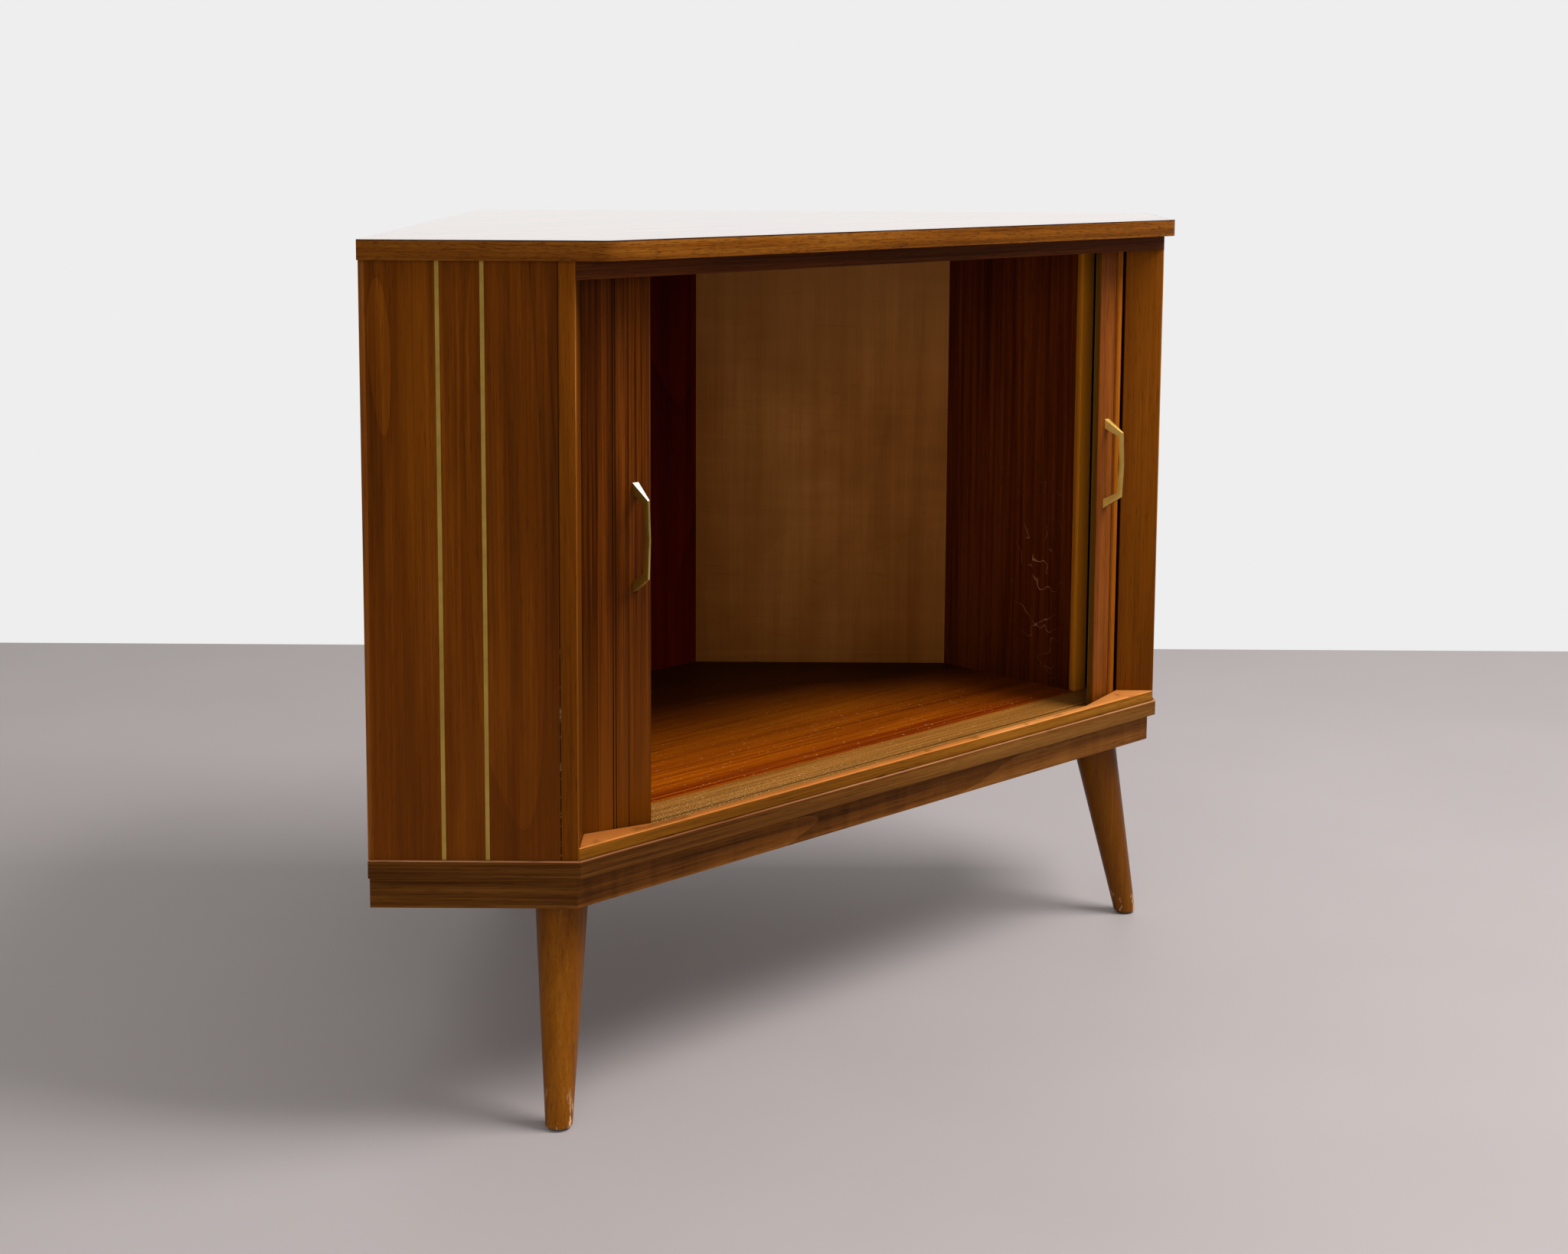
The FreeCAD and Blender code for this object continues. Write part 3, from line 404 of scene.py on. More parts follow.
def floor_marks_and_painted_shade(tree, where, colour):
    """Painted shade at the back, a raw strip at the doors, a red edge of varnish behind it, and
    dust along the groove.
    """
    x, y, z = axes_of(tree, where)
    fibres = pattern(tree, where, (5, 420, 420))
    depth = plus(tree, y, swing(tree, pattern(tree, where, (14, 0, 0)), 0.0012))

    # Painted shade: the board gets darker towards the back and towards the right.
    darker = swing(tree, pattern(tree, where, (3, 2, 0)), 0.03)
    darker = plus(tree, darker, times(tree, x, 0.22))
    darker = spread(tree, plus(tree, y, darker), -0.205, 0.03, 0.0, 0.96)
    colour = tint(tree, darker, colour, shade(36, 11, 1))

    lines = pattern(tree, where, (2, 300, 0), (0, 3, 0), detail=1.0)
    lines = spread(tree, spread(tree, lines, 0.50, 0.56), 0.0, 1.0, 0.25, 0.8)
    red_edge = times(tree, between(tree, depth, STRIP_BACK, RED_EDGE_BACK, 0.004), lines)
    colour = tint(tree, red_edge, colour, shade(98, 26, 3))
    raw = tint(tree, spread(tree, fibres, 0.3, 0.7), shade(106, 64, 16), shade(156, 100, 40))
    strip = spread(tree, depth, STRIP_BACK - 0.001, STRIP_BACK, 1.0, 0.0)
    colour = tint(tree, strip, colour, raw)

    settled = spread(tree, depth, -0.270, -0.228, 0.65, 0.0)
    dust = times(tree, specks(tree, where, 700, 0.15), settled)
    dust = times(tree, dust, spread(tree, x, -0.22, 0.12, 1.0, 0.3))
    scattered = spread(tree, depth, -0.24, -0.05, 0.6, 0.1)
    crumbs = times(tree, specks(tree, where, 330, 0.02), scattered)
    colour = tint(tree, sums(tree, "MAXIMUM", dust, crumbs), colour, shade(214, 178, 122))

    chipped = plus(tree, y, swing(tree, pattern(tree, where, (90, 0, 0)), 0.0007))
    line = between(tree, chipped, GROOVE_LINE - 0.0028, GROOVE_LINE, 0.0005)
    colour = tint(tree, times(tree, line, 0.8), colour, shade(58, 44, 18))

    plain = tint(tree, fibres, shade(120, 80, 40), shade(150, 108, 62))
    below = spread(tree, z, BOARD_TOP - 0.0006, BOARD_TOP - 0.0002, 1.0, 0.0)
    return tint(tree, below, colour, plain)

print("the board's top is at", round(BOARD_TOP, 4))

# %% [markdown]
# Marks, and painted light and shade, on the walls
#
# Inside, the walls have chalky squiggles, and the plywood at the back has faint stains and hairline
# scratches. A thin wandering line could be modelled as a stroke, but a contour of a slow noise,
# drawn where it passes one value, is cheaper and never repeats. Painted shade darkens the walls and
# the plywood towards the foot, and painted light makes the plywood paler above.

# %% Marks and painted light and shade on the walls
def contour(tree, value, level, width, strength=1.0):
    """A thin line where value passes level."""
    away = sums(tree, "ABSOLUTE", sums(tree, "SUBTRACT", value, level))
    return spread(tree, away, 0.0, width, strength, 0.0)

def wall_marks_and_painted_shade(tree, where, colour):
    """Chalky squiggles behind the doors, and painted shade that darkens the foot."""
    _, y, z = axes_of(tree, where)
    rubbed = between(tree, y, -0.205, -0.15, 0.012)
    rubbed = times(tree, rubbed, between(tree, z, 0.28, 0.46, 0.03))
    chalk = pattern(tree, where, (26, 26, 26), (3, 1, 7), detail=1.5, warp=0.4)
    chalk = times(tree, contour(tree, chalk, 0.5, 0.006), rubbed)
    gaps = pattern(tree, where, (60, 60, 60), detail=1.0)
    chalk = times(tree, chalk, spread(tree, gaps, 0.4, 0.6))
    # Painted shade: the wall gets darker towards the bottom.
    colour = tint(tree, spread(tree, z, 0.25, 0.5, 0.3, 0.0), colour, shade(30, 8, 1))
    return tint(tree, chalk, colour, shade(150, 100, 66))

def ply_marks_and_painted_shading(tree, where, colour):
    """Faint stains and hairline scratches on the back panels; painted light above, painted shade
    below.
    """
    stain = pattern(tree, where, (5, 5, 3.2), (2, 0, 1), detail=3.0, rough=0.6, warp=0.8)
    colour = tint(tree, spread(tree, stain, 0.46, 0.66, 0.0, 0.45), colour, shade(104, 56, 16))
    scratch = pattern(tree, where, (2.5, 2.5, 60), (4, 4, 1), detail=1.0)
    colour = tint(tree, contour(tree, scratch, 0.62, 0.006, 0.3), colour, shade(84, 42, 12))
    _, _, z = axes_of(tree, where)
    # Painted light makes the plywood paler above, and painted shade makes it darker below.
    colour = tint(tree, spread(tree, z, 0.56, 0.74, 0.0, 0.35), colour, shade(176, 118, 62))
    return tint(tree, spread(tree, z, 0.24, 0.56, 0.46, 0.05), colour, shade(82, 37, 2))

def panel_marks(tree, where, colour):
    """Slow gold and dark patches along the grain of the side veneer."""
    gold = pattern(tree, where, (15, 15, 2.2), (5, 1, 0), detail=3.0, rough=0.6, warp=0.5)
    colour = tint(tree, spread(tree, gold, 0.50, 0.66, 0.0, 0.45), colour, shade(110, 58, 4))
    dark = pattern(tree, where, (40, 40, 1.5), (1, 7, 2), detail=3.0, rough=0.65)
    colour = tint(tree, spread(tree, dark, 0.52, 0.66, 0.0, 0.6), colour, shade(52, 20, 1))
    _, _, z = axes_of(tree, where)
    return tint(tree, spread(tree, z, 0.30, 0.56, 0.3, 0.0), colour, shade(94, 46, 12))

print("marks for walls, plywood and side panels")

# %% [markdown]
# Marks, and painted light and shade, on slats, edges, posts and legs
#
# A post meets its side panel in a dark line with flecks of pale filler low down, the top's solid
# edge has dark flecks and a glue line, and the feet are scuffed. Such a line could be typed in at a
# fixed place, but here it is measured on the panel's mesh, so that it follows a change of size.
# Painted shade darkens the heads of the slats and the legs and the left end of the edge band, and
# painted light brightens the feet of the slats and the front of the lipping.

# %% Marks and painted light and shade on slats, edges, posts and legs
DIAGONAL = math.sqrt(0.5)
LIPPING_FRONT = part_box("inner_wall_lipping_right")[0][1]
panel_spots = [vertex.co for vertex in NODES["side_panel_right"].data.vertices]
PANEL_JOINT = min(spot.x + spot.y for spot in panel_spots) * DIAGONAL
GLUE_LINE = 0.7708

def slat_painted_shading(tree, where, colour):
    """Slats get painted shade that darkens the head and painted light that makes the foot paler."""
    _, _, z = axes_of(tree, where)
    # Painted light at the foot, then painted shade at the head, under the top.
    colour = tint(tree, spread(tree, z, 0.25, 0.46, 0.45, 0.0), colour, shade(128, 66, 8))
    return tint(tree, spread(tree, z, 0.60, 0.76, 0.0, 0.5), colour, shade(44, 16, 2))

def post_marks(tree, where, colour):
    """The dark joint between post and side panel, with flecks of pale filler low down."""
    x, y, z = axes_of(tree, where)
    back = times(tree, plus(tree, sums(tree, "ABSOLUTE", x), y), DIAGONAL)
    line = spread(tree, back, PANEL_JOINT - 0.0013, PANEL_JOINT - 0.0008)
    colour = tint(tree, line, colour, shade(40, 16, 1))
    fleck = pattern(tree, where, (0, 0, 60), (0, 0, 4), detail=4.0, rough=0.7)
    fleck = spread(tree, fleck, 0.52, 0.66)
    fleck = times(tree, fleck, spread(tree, z, 0.32, 0.46, 0.55, 0.0))
    return tint(tree, times(tree, fleck, line), colour, shade(196, 160, 110))

def lipping_painted_light(tree, where, colour):
    """Painted light that makes the lipping paler towards the slats."""
    _, y, _ = axes_of(tree, where)
    # Painted light on the front of the lipping.
    pale = spread(tree, y, LIPPING_FRONT, LIPPING_FRONT + 0.006, 0.55, 0.0)
    return tint(tree, pale, colour, shade(216, 132, 28))

def edge_flecks_and_painted_shade(tree, where, colour):
    """Painted shade at the left, short dark flecks along a solid edge, and the veneer's dark glue
    line above.
    """
    x, _, z = axes_of(tree, where)
    # Painted shade on the left end of the band.
    colour = tint(tree, spread(tree, x, -0.40, -0.36, 0.35, 0.0), colour, shade(66, 32, 6))
    fleck = spread(tree, pattern(tree, where, (130, 130, 1900), (1, 2, 3)), 0.56, 0.64)
    colour = tint(tree, times(tree, fleck, 0.7), colour, shade(56, 26, 4))
    return tint(tree, spread(tree, z, GLUE_LINE, GLUE_LINE + 0.0005), colour, shade(40, 18, 6))

def foot_scuffs_and_painted_shade(tree, where, colour):
    """Pale rubbed spots low on a leg, painted shade near the top, and darker on the right leg."""
    x, _, z = axes_of(tree, where)
    colour = tint(tree, spread(tree, x, 0.1, 0.3, 0.0, 0.4), colour, shade(70, 34, 2))
    patch = pattern(tree, where, (160, 160, 60), (1, 0, 0), detail=3.0, rough=0.6)
    patch = spread(tree, patch, 0.56, 0.64)
    patch = times(tree, patch, spread(tree, z, 0.008, 0.040, 0.75, 0.0))
    # Painted shade near the top of the leg.
    colour = tint(tree, spread(tree, z, 0.10, 0.203, 0.0, 0.35), colour, shade(52, 20, 1))
    return tint(tree, patch, colour, shade(206, 164, 120))

print("post meets panel at", round(PANEL_JOINT, 4), "lipping starts at", round(LIPPING_FRONT, 4))

# %% [markdown]
# The woods of the cabinet
#
# The real cabinet is veneered in a red-brown wood, with paler solid wood for posts and lipping,
# light plywood at the back and darker veneer inside. One material for all of it would look like
# plastic wrap, so each kind of board has its own, from one function: the way its grain runs, three
# tones from dark to light, and the strength of the layers. Narrow pieces show a ring or two.

# %% Woods of the outside
NARROW = {"rings": 2, "ring_depth": 0.1}

side_wood = timber(
    "side_veneer_wood", UPRIGHT, ((55, 23, 1), (83, 39, 2), (106, 55, 5)),
    rings=11, ring_depth=0.28, streaks=0.4, pores=0.4, touch=panel_marks)
band_wood = timber(
    "top_edge_wood", LEVEL, ((78, 38, 6), (112, 62, 12), (134, 82, 24)),
    rings=2, ring_depth=0.08, streaks=0.8, bands=0.1, touch=edge_flecks_and_painted_shade)
trim_wood = timber(
    "trim_wood", LEVEL, ((58, 29, 6), (97, 58, 18), (120, 78, 32)), rings=4, ring_depth=0.2)
post_wood = timber(
    "post_wood", UPRIGHT, ((72, 34, 2), (97, 49, 3), (112, 60, 7)),
    rings=4, ring_depth=0.12, streaks=0.4, bands=0.15, touch=post_marks)
rail_wood = timber("rail_wood", LEVEL, ((46, 20, 6), (80, 38, 12), (104, 54, 22)), rings=4)
curb_wood = timber(
    "curb_wood", LEVEL, ((82, 45, 6), (114, 68, 12), (140, 90, 26)), rings=3, ring_depth=0.12)
apron_wood = timber(
    "apron_wood", LEVEL, ((54, 27, 6), (90, 50, 14), (116, 71, 28)),
    rings=8, ring_depth=0.35, curl=0.1)
leg_wood = timber(
    "leg_wood", UPRIGHT, ((84, 43, 2), (114, 63, 4), (130, 78, 10)),
    streaks=0.4, gloss=0.1, sheen=0.3, touch=foot_scuffs_and_painted_shade, **NARROW)
print("legs are in", leg_wood.name)

# %% Woods of the doors
slat_wood = timber(
    "slat_wood", UPRIGHT, ((32, 11, 1), (66, 27, 1), (92, 43, 3)),
    rings=3, ring_depth=0.15, streaks=0.95, fine=1.3, touch=slat_painted_shading)
# A paler copy of the slat wood for the right door's slats, which is painted light.
lit_slat_wood = timber(
    "lit_lead_slat_wood", UPRIGHT, ((78, 32, 3), (110, 54, 8), (130, 70, 16)),
    streaks=0.6, gloss=0.1, **NARROW)
# A paler copy of the slat wood for the right corner slats, which is painted light.
lit_corner_wood = timber(
    "lit_corner_slat_wood", UPRIGHT, ((96, 44, 3), (140, 74, 9), (162, 92, 20)), **NARROW)
side_lip_wood = timber(
    "slat_edge_wood", UPRIGHT, ((70, 38, 3), (92, 54, 6), (108, 68, 12)), **NARROW)
# Near-black painted shade, for the rounded edges in the gaps between slats.
joint_shade_wood = timber(
    "slat_joint_shade_wood", UPRIGHT, ((14, 5, 1), (26, 9, 1), (40, 16, 2)), **NARROW)
print("slats are in", slat_wood.name)

# %% Woods of the inside
inner_wood = timber(
    "inner_veneer_wood", UPRIGHT, ((48, 15, 2), (73, 27, 4), (88, 37, 8)),
    rings=3, ring_depth=0.1, streaks=1.0, fine=0.6, touch=wall_marks_and_painted_shade)
dark_wood = timber("dark_veneer_wood", UPRIGHT, ((44, 5, 1), (66, 9, 1), (82, 14, 3)))
floor_wood = timber(
    "floor_veneer_wood", ALONG_FRONT, ((110, 42, 2), (158, 76, 3), (178, 94, 8)),
    rings=3, ring_depth=0.12, streaks=0.7, touch=floor_marks_and_painted_shade)
ply_wood = timber(
    "light_plywood", UPRIGHT, ((114, 66, 24), (134, 82, 34), (146, 94, 44)),
    rings=7, ring_depth=0.16, pores=0.1, streaks=0.18, sheen=0.55, curl=0.1, touch=ply_marks_and_painted_shading)
board_wood = timber(
    "plain_board", LEVEL, ((120, 84, 50), (150, 112, 72), (168, 130, 90)), sheen=0.6, pores=0.2)
lip_wood = timber(
    "lipping_wood", UPRIGHT, ((126, 70, 10), (156, 91, 18), (172, 108, 28)),
    touch=lipping_painted_light, **NARROW)
print("the floor board is in", floor_wood.name)

# %% [markdown]
# Wood where the stain is rubbed off
#
# Hands and feet take the stain off an edge, and the bare wood is paler. A Pointiness node could
# find the edges, but it needs a dense mesh, while a bevel can give its new faces a material.

# %% Rubbed wood
worn_ledge = timber(
    "worn_ledge", LEVEL, ((110, 62, 34), (156, 104, 70), (188, 140, 106)), **NARROW)
worn_curb = timber(
    "worn_curb", LEVEL, ((146, 82, 30), (186, 112, 50), (206, 138, 74)), **NARROW)
worn_post = timber(
    "worn_post", UPRIGHT, ((92, 46, 6), (118, 66, 16), (160, 108, 50)), **NARROW)
print("bare wood on the posts:", worn_post.name)

# %% [markdown]
# The top, with its varnish and its raw edge
#
# The top has a glossy varnish on its level face, and plain darker wood on its sawn edge at the
# back. Its faces could be given two materials, but the frame's meshes are left as they are. So one
# finish holds both woods and picks by height: the edge lies between the two level faces.

# %% Top panel
VENEER_TONES = ((80, 42, 16), (112, 64, 28), (132, 84, 42))
EDGE_TONES = ((60, 26, 4), (92, 46, 8), (120, 70, 24))
VENEER = {"gloss": 0.5, "varnish": 0.85}
EDGE = {"gloss": 0.03, "varnish": 0.0}
EDGE_MARGIN = 0.0002

top_wood = timber("top_veneer_wood", ALONG_FRONT, VENEER_TONES, sheen=0.28, **VENEER)
end_wood = timber("panel_end_wood", UPRIGHT, EDGE_TONES, **EDGE, **NARROW)

def top_panel_finish(name, low, high):
    """Veneer on the level faces at low and high, and end wood between them."""
    finish, tree, shader = start_finish(name)
    where = object_place(tree)
    _, _, z = axes_of(tree, where)
    edge = between(tree, z, low + EDGE_MARGIN, high - EDGE_MARGIN, EDGE_MARGIN / 2)
    veneer = grain_of(tree, where, ALONG_FRONT, VENEER_TONES, sheen=0.28)
    raw = grain_of(tree, where, UPRIGHT, EDGE_TONES, **NARROW)
    colour = tint(tree, edge, veneer[0], raw[0])
    rough, height = (fade(tree, edge, veneer[i], raw[i]) for i in (1, 2))
    gloss, varnish = (fade(tree, edge, VENEER[key], EDGE[key]) for key in ("gloss", "varnish"))
    wire_up(tree, shader, (colour, rough, height), gloss, varnish)
    return finish

panel_low, panel_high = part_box("top_panel")
panel_wood = top_panel_finish("top_panel_wood", panel_low[2], panel_high[2])
print("the top panel is", round(panel_high[2] - panel_low[2], 4), "thick")

# %% [markdown]
# Metal, cloth and plastic
#
# The inlay strips and the pulls are brass, screws and nails are steel, and canvas holds the slats
# together behind. Even polished brass is a little mottled. Scratches would be lost at this
# distance, so one fine noise moves colour and roughness together. The left pull is in shade and
# the right one in light, so the left one's side faces get painted shade and its upper face a
# painted highlight, and the right one gets painted light.

# %% Metal and the rest
MOTTLE_DEPTH = 0.00005

def plain_finish(name, low, high, rough, metal=0.0, grain=200.0):
    """Brass, steel, cloth or plastic with a slight mottle."""
    finish, tree, shader = start_finish(name)
    mottle = pattern(tree, object_place(tree), (grain, grain, grain), detail=3.0, rough=0.6)
    colour = tint(tree, spread(tree, mottle, 0.3, 0.7), shade(*low), shade(*high))
    plug(tree, shader.inputs["Base Color"], colour)
    roughness = spread(tree, mottle, 0.3, 0.7, rough - 0.07, rough + 0.07)
    plug(tree, shader.inputs["Roughness"], roughness)
    shader.inputs["Metallic"].default_value = metal
    relief(tree, shader, mottle, 0.2, MOTTLE_DEPTH)
    return finish

brass = plain_finish("brass", (138, 108, 38), (160, 128, 54), 0.5, 0.35, 40.0)
pull_brass = plain_finish("pull_brass", (158, 128, 62), (186, 156, 88), 0.3, 0.8, 60.0)
# The next three are painted shade, painted light and a painted highlight for the pulls.
shaded_brass = plain_finish("shaded_brass", (96, 66, 12), (112, 80, 20), 0.4, 0.3, 60.0)
lit_golden_brass = plain_finish("lit_golden_brass", (206, 160, 70), (222, 180, 92), 0.35, 0.35, 60.0)
painted_highlight_brass = plain_finish("painted_highlight_brass", (244, 236, 214), (250, 246, 232), 0.3, 0.2, 60.0)
steel = plain_finish("steel", (150, 148, 142), (180, 178, 172), 0.3, 1.0)
canvas = plain_finish("canvas", (84, 66, 40), (112, 92, 60), 0.9, grain=900.0)
plastic = plain_finish("glide_plastic", (40, 36, 32), (58, 52, 48), 0.45)
print("finishes so far:", len(bpy.data.materials))

# %% [markdown]
# Finishes on the boards of the frame
#
# The record of the CAD model names a material slot for each node, such as brass. The nodes could
# be dressed one by one, but a table from slot to finish can't forget one of them.

# %% Give every CAD node its finish
FINISH_OF_SLOT = {
    "top_veneer": panel_wood, "side_veneer": side_wood, "floor_veneer": floor_wood,
    "inner_veneer": inner_wood, "dark_veneer": dark_wood, "light_plywood": ply_wood,
    "solid_trim": trim_wood, "light_solid": post_wood, "slat_wood": slat_wood,
    "leg_wood": leg_wood, "plain_board": board_wood, "dowel": board_wood,
    "brass": brass, "steel": steel, "canvas": canvas, "glide": plastic,
}
SLOT_OF = {part["node"]: part["material_slot"] for part in frame["record"]["subparts"]}
for name, piece in NODES.items():
    give(piece, FINISH_OF_SLOT[SLOT_OF[name]])
print("finishes on", len(NODES), "nodes")

# %% [markdown]
# Worn edges
#
# A board from a CAD program ends in a knife edge. A real one has its arris rubbed down, and on the
# floor's edge, the curb and the posts the stain is gone from it. Between slats the same rounding
# gets near-black painted shade, as dark as the gaps. The edges could be cut by hand, but a Bevel
# modifier takes chosen edges and gives their new faces a second material. It works on a merged copy
# of the CAD mesh, whose triangles are dissolved back to flat faces. A second, finer bevel softens
# all the other edges.

# %% Copies of the boards
BODY_OF = {name: piece["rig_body"] for name, piece in NODES.items()}
MERGE_DISTANCE = 0.00002
FLAT_WITHIN = 0.8  # degrees

def copy_node(node, name):
    """A merged copy of a CAD node's mesh, as its own object."""
    piece = bpy.data.objects.new(name, NODES[node].data.copy())
    bpy.context.scene.collection.objects.link(piece)
    merge(piece, MERGE_DISTANCE, FLAT_WITHIN)
    return piece

def stand_for(piece, node):
    """piece takes the CAD node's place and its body."""
    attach(piece, BODY_OF[node])
    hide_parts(node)

print("bodies:", sorted(set(BODY_OF.values())))

# %% Which edges are rubbed
POST_FRONT = -0.314
SLAT_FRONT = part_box("lead_slat_left")[0][1]

def edge_normals(piece):
    """The normals of the faces at each edge of piece."""
    meeting = {edge.key: [] for edge in piece.data.edges}
    for face in piece.data.polygons:
        for key in face.edge_keys:
            meeting[key].append(face.normal)
    return [meeting[edge.key] for edge in piece.data.edges]

def upright(normals):
    """Whether all these faces stand upright."""
    return all(abs(normal.z) < 0.3 for normal in normals)

def upper_arris(normals, middle):
    """Edges between a level top face and an upright one that looks outward."""
    level = any(n.z > 0.9 for n in normals)
    return level and any(abs(n.z) < 0.3 and (n.y < -0.5 or abs(n.x) > 0.5) for n in normals)

def front_arris(normals, middle):
    """Upright edges at the front of a post."""
    return upright(normals) and middle.y < POST_FRONT

def slat_arris(normals, middle):
    """Upright edges on the face of a slat."""
    return upright(normals) and middle.y < SLAT_FRONT + 0.002

print("the slats' faces are at", round(SLAT_FRONT, 4))

# %% Rounded and worn copies of the boards
SOFT_EDGE = 0.0004  # the width of the fine bevel that every eased board gets

def round_edges(piece, width, segments, degrees=None):
    """One applied Bevel modifier, on edges sharper than degrees or else on the weighted ones."""
    rounding = piece.modifiers.new("rounding", "BEVEL")
    rounding.width = width
    rounding.segments = segments
    if degrees is None:
        rounding.limit_method = "WEIGHT"
        rounding.material = 1
    else:
        rounding.limit_method = "ANGLE"
        rounding.angle_limit = math.radians(degrees)
    apply_modifiers(piece)

def rub_edges(piece, width, rubbed):
    """Rounds the edges that pass rubbed by width, in the second material."""
    weight = piece.data.attributes.new("bevel_weight_edge", "FLOAT", "EDGE")
    for edge, normals in zip(piece.data.edges, edge_normals(piece)):
        ends = [piece.data.vertices[i].co for i in edge.vertices]
        weight.data[edge.index].value = float(rubbed(normals, (ends[0] + ends[1]) / 2))
    round_edges(piece, width, 3)

def ease(node, finish, worn=None, width=None, rubbed=None):
    """The board with its rubbed edges in worn, if it has any, and its other edges softened."""
    piece = copy_node(node, node + "_eased")
    give(piece, *(wood for wood in (finish, worn) if wood))
    if rubbed:
        rub_edges(piece, width, rubbed)
    round_edges(piece, SOFT_EDGE, 2, 50)
    smooth(piece, 30)
    stand_for(piece, node)
    return piece

# (nodes, their finish, and where they are rubbed: finish, width and edges)
EASED = (
    (("top_edge_band",), band_wood, band_wood, 0.0008, upper_arris),
    (("front_curb",), curb_wood, worn_curb, 0.0012, upper_arris),
    (("board_edge_front", "board_edge_left", "board_edge_right"),
     trim_wood, worn_ledge, 0.0010, upper_arris),
    (("front_post_left", "front_post_right"), post_wood, worn_post, 0.0010, front_arris),
    # The slats' rounded front edges get near-black painted shade, dark as the gaps between them.
    (("lead_slat_left", "leaf_slats_left"), slat_wood, joint_shade_wood, 0.0005, slat_arris),
    (("lead_slat_right",), lit_slat_wood, joint_shade_wood, 0.0005, slat_arris),
    (("upper_front_rail",), rail_wood),
    (("apron_front",), apron_wood),
    (("apron_left", "apron_right"), trim_wood),
    (("inner_wall_lipping_left", "inner_wall_lipping_right"), lip_wood),
    (("back_panel_left", "back_panel_right"), ply_wood),
)
eased = {node: ease(node, *row) for nodes, *row in EASED for node in nodes}
print("eased boards:", len(eased))

# %% [markdown]
# A second finish on single faces
#
# Some boards show two woods: the edge band's top is veneered, the curb's top is rubbed bare, the
# lead slats have a paler edge, and the plywood shows its sawn end. Faces could be picked by number,
# but their normal and place still find them when a size changes. Only copies are painted.

# %% Second finishes on single faces
LEVEL_WITHIN = 0.0005

def paint(piece, finish, wanted):
    """Gives finish to the faces of piece whose normal and centre pass wanted."""
    piece.data.materials.append(finish)
    slot = len(piece.data.materials) - 1
    faces = [face for face in piece.data.polygons if wanted(face.normal, face.center)]
    for face in faces:
        face.material_index = slot
    print(piece.name, len(faces), "faces in", finish.name)

def paint_top(node, finish):
    """Gives finish to the level top of an eased board."""
    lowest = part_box(node)[1][2] - LEVEL_WITHIN
    paint(eased[node], finish, lambda normal, centre: normal.z > 0.9 and centre.z > lowest)

paint_top("top_edge_band", top_wood)
paint_top("front_curb", worn_curb)
for side in ("left", "right"):
    paint(eased["lead_slat_" + side], side_lip_wood, lambda normal, centre: abs(normal.x) > 0.9)
    paint(eased["back_panel_" + side], end_wood,
          lambda normal, centre: normal.y < -0.6 and abs(centre.x) > 0.45)

# %% [markdown]
# Slats at the corner
#
# Where the track turns, stiff slats open wedges between their faces, and the photograph shows only
# narrow joints there. A Bevel or a Boolean can't widen a slat towards its face only. So on a copy
# of the slats, the front edges of each two neighbours are moved to the middle between them.

# %% Corner slats
JOINT_GAP = 0.0002
FRONT_REACH = (0.005, 0.008)  # how far a slat's front edges are from the hinge line behind them

def slats_of(piece):
    """The loose parts of piece, as lists of vertex numbers, in order along the track."""
    parent = list(range(len(piece.data.vertices)))

    def root(i):
        while parent[i] != i:
            i = parent[i]
        return i

    def along_track(group):
        middle = sum((piece.data.vertices[i].co for i in group), Vector()) / len(group)
        return abs(middle.x) + middle.y

    for edge in piece.data.edges:
        first, second = (root(i) for i in edge.vertices)
        parent[first] = second
    groups = {}
    for vertex in piece.data.vertices:
        groups.setdefault(root(vertex.index), []).append(vertex.index)
    return sorted(groups.values(), key=along_track)

def close_joints(piece):
    """Moves the facing front corners of neighbouring slats to JOINT_GAP from each other."""
    spots = piece.data.vertices
    slats = slats_of(piece)
    for before, after in zip(slats, slats[1:]):
        pairs = (((spots[i].co - spots[j].co).xy.length, i, j) for i in before for j in after)
        _, i, j = min(pairs)
        hinge = (spots[i].co + spots[j].co).xy / 2

        def from_hinge(k):
            return (spots[k].co.xy - hinge).length

        near, far = FRONT_REACH
        fronts = [[k for k in slat if near < from_hinge(k) < far] for slat in (before, after)]
        corners = [spots[min(front, key=from_hinge)].co.xy for front in fronts]
        meeting = (corners[0] + corners[1]) / 2
        for front, corner in zip(fronts, corners):
            shift = meeting - corner
            shift *= max(0.0, 1 - JOINT_GAP / 2 / max(shift.length, 1e-6))
            for k in front:
                spots[k].co.x += shift.x
                spots[k].co.y += shift.y

def joint_face(normal, centre):
    """Upright faces of a corner slat that lie at its front edge but don't look straight ahead."""
    return abs(normal.z) < 0.3 and centre.y < SLAT_FRONT + 0.0006 and normal.y > -0.9

# The right corner slats get the paler copy of the slat wood, which is painted light.
for side, wood in (("left", slat_wood), ("right", lit_corner_wood)):
    node = "corner_slats_" + side
    run = copy_node(node, node + "_closed")
    give(run, wood)
    close_joints(run)
    # The joints between the corner slats get near-black painted shade.
    paint(run, joint_shade_wood, joint_face)
    stand_for(run, node)
    print(run.name, len(slats_of(run)), "slats")

# %% [markdown]
# Turned legs
#
# A leg is turned on a lathe, so its skin is one smooth cone. It could be spun anew, but a merged
# copy of the CAD leg has the right lean already, and shading it smooth by angle keeps the crisp
# line where the foot is rounded over. The real legs are a little fuller and stand flat on their
# feet, and both are done on the copy.

# %% Legs
FOOT_HEIGHT = 0.0016
LEG_FULLNESS = 1.045
FOOT_ZONE = 0.012  # the foot is below this height
HEAD_ZONE = 0.19  # and the head is above this one

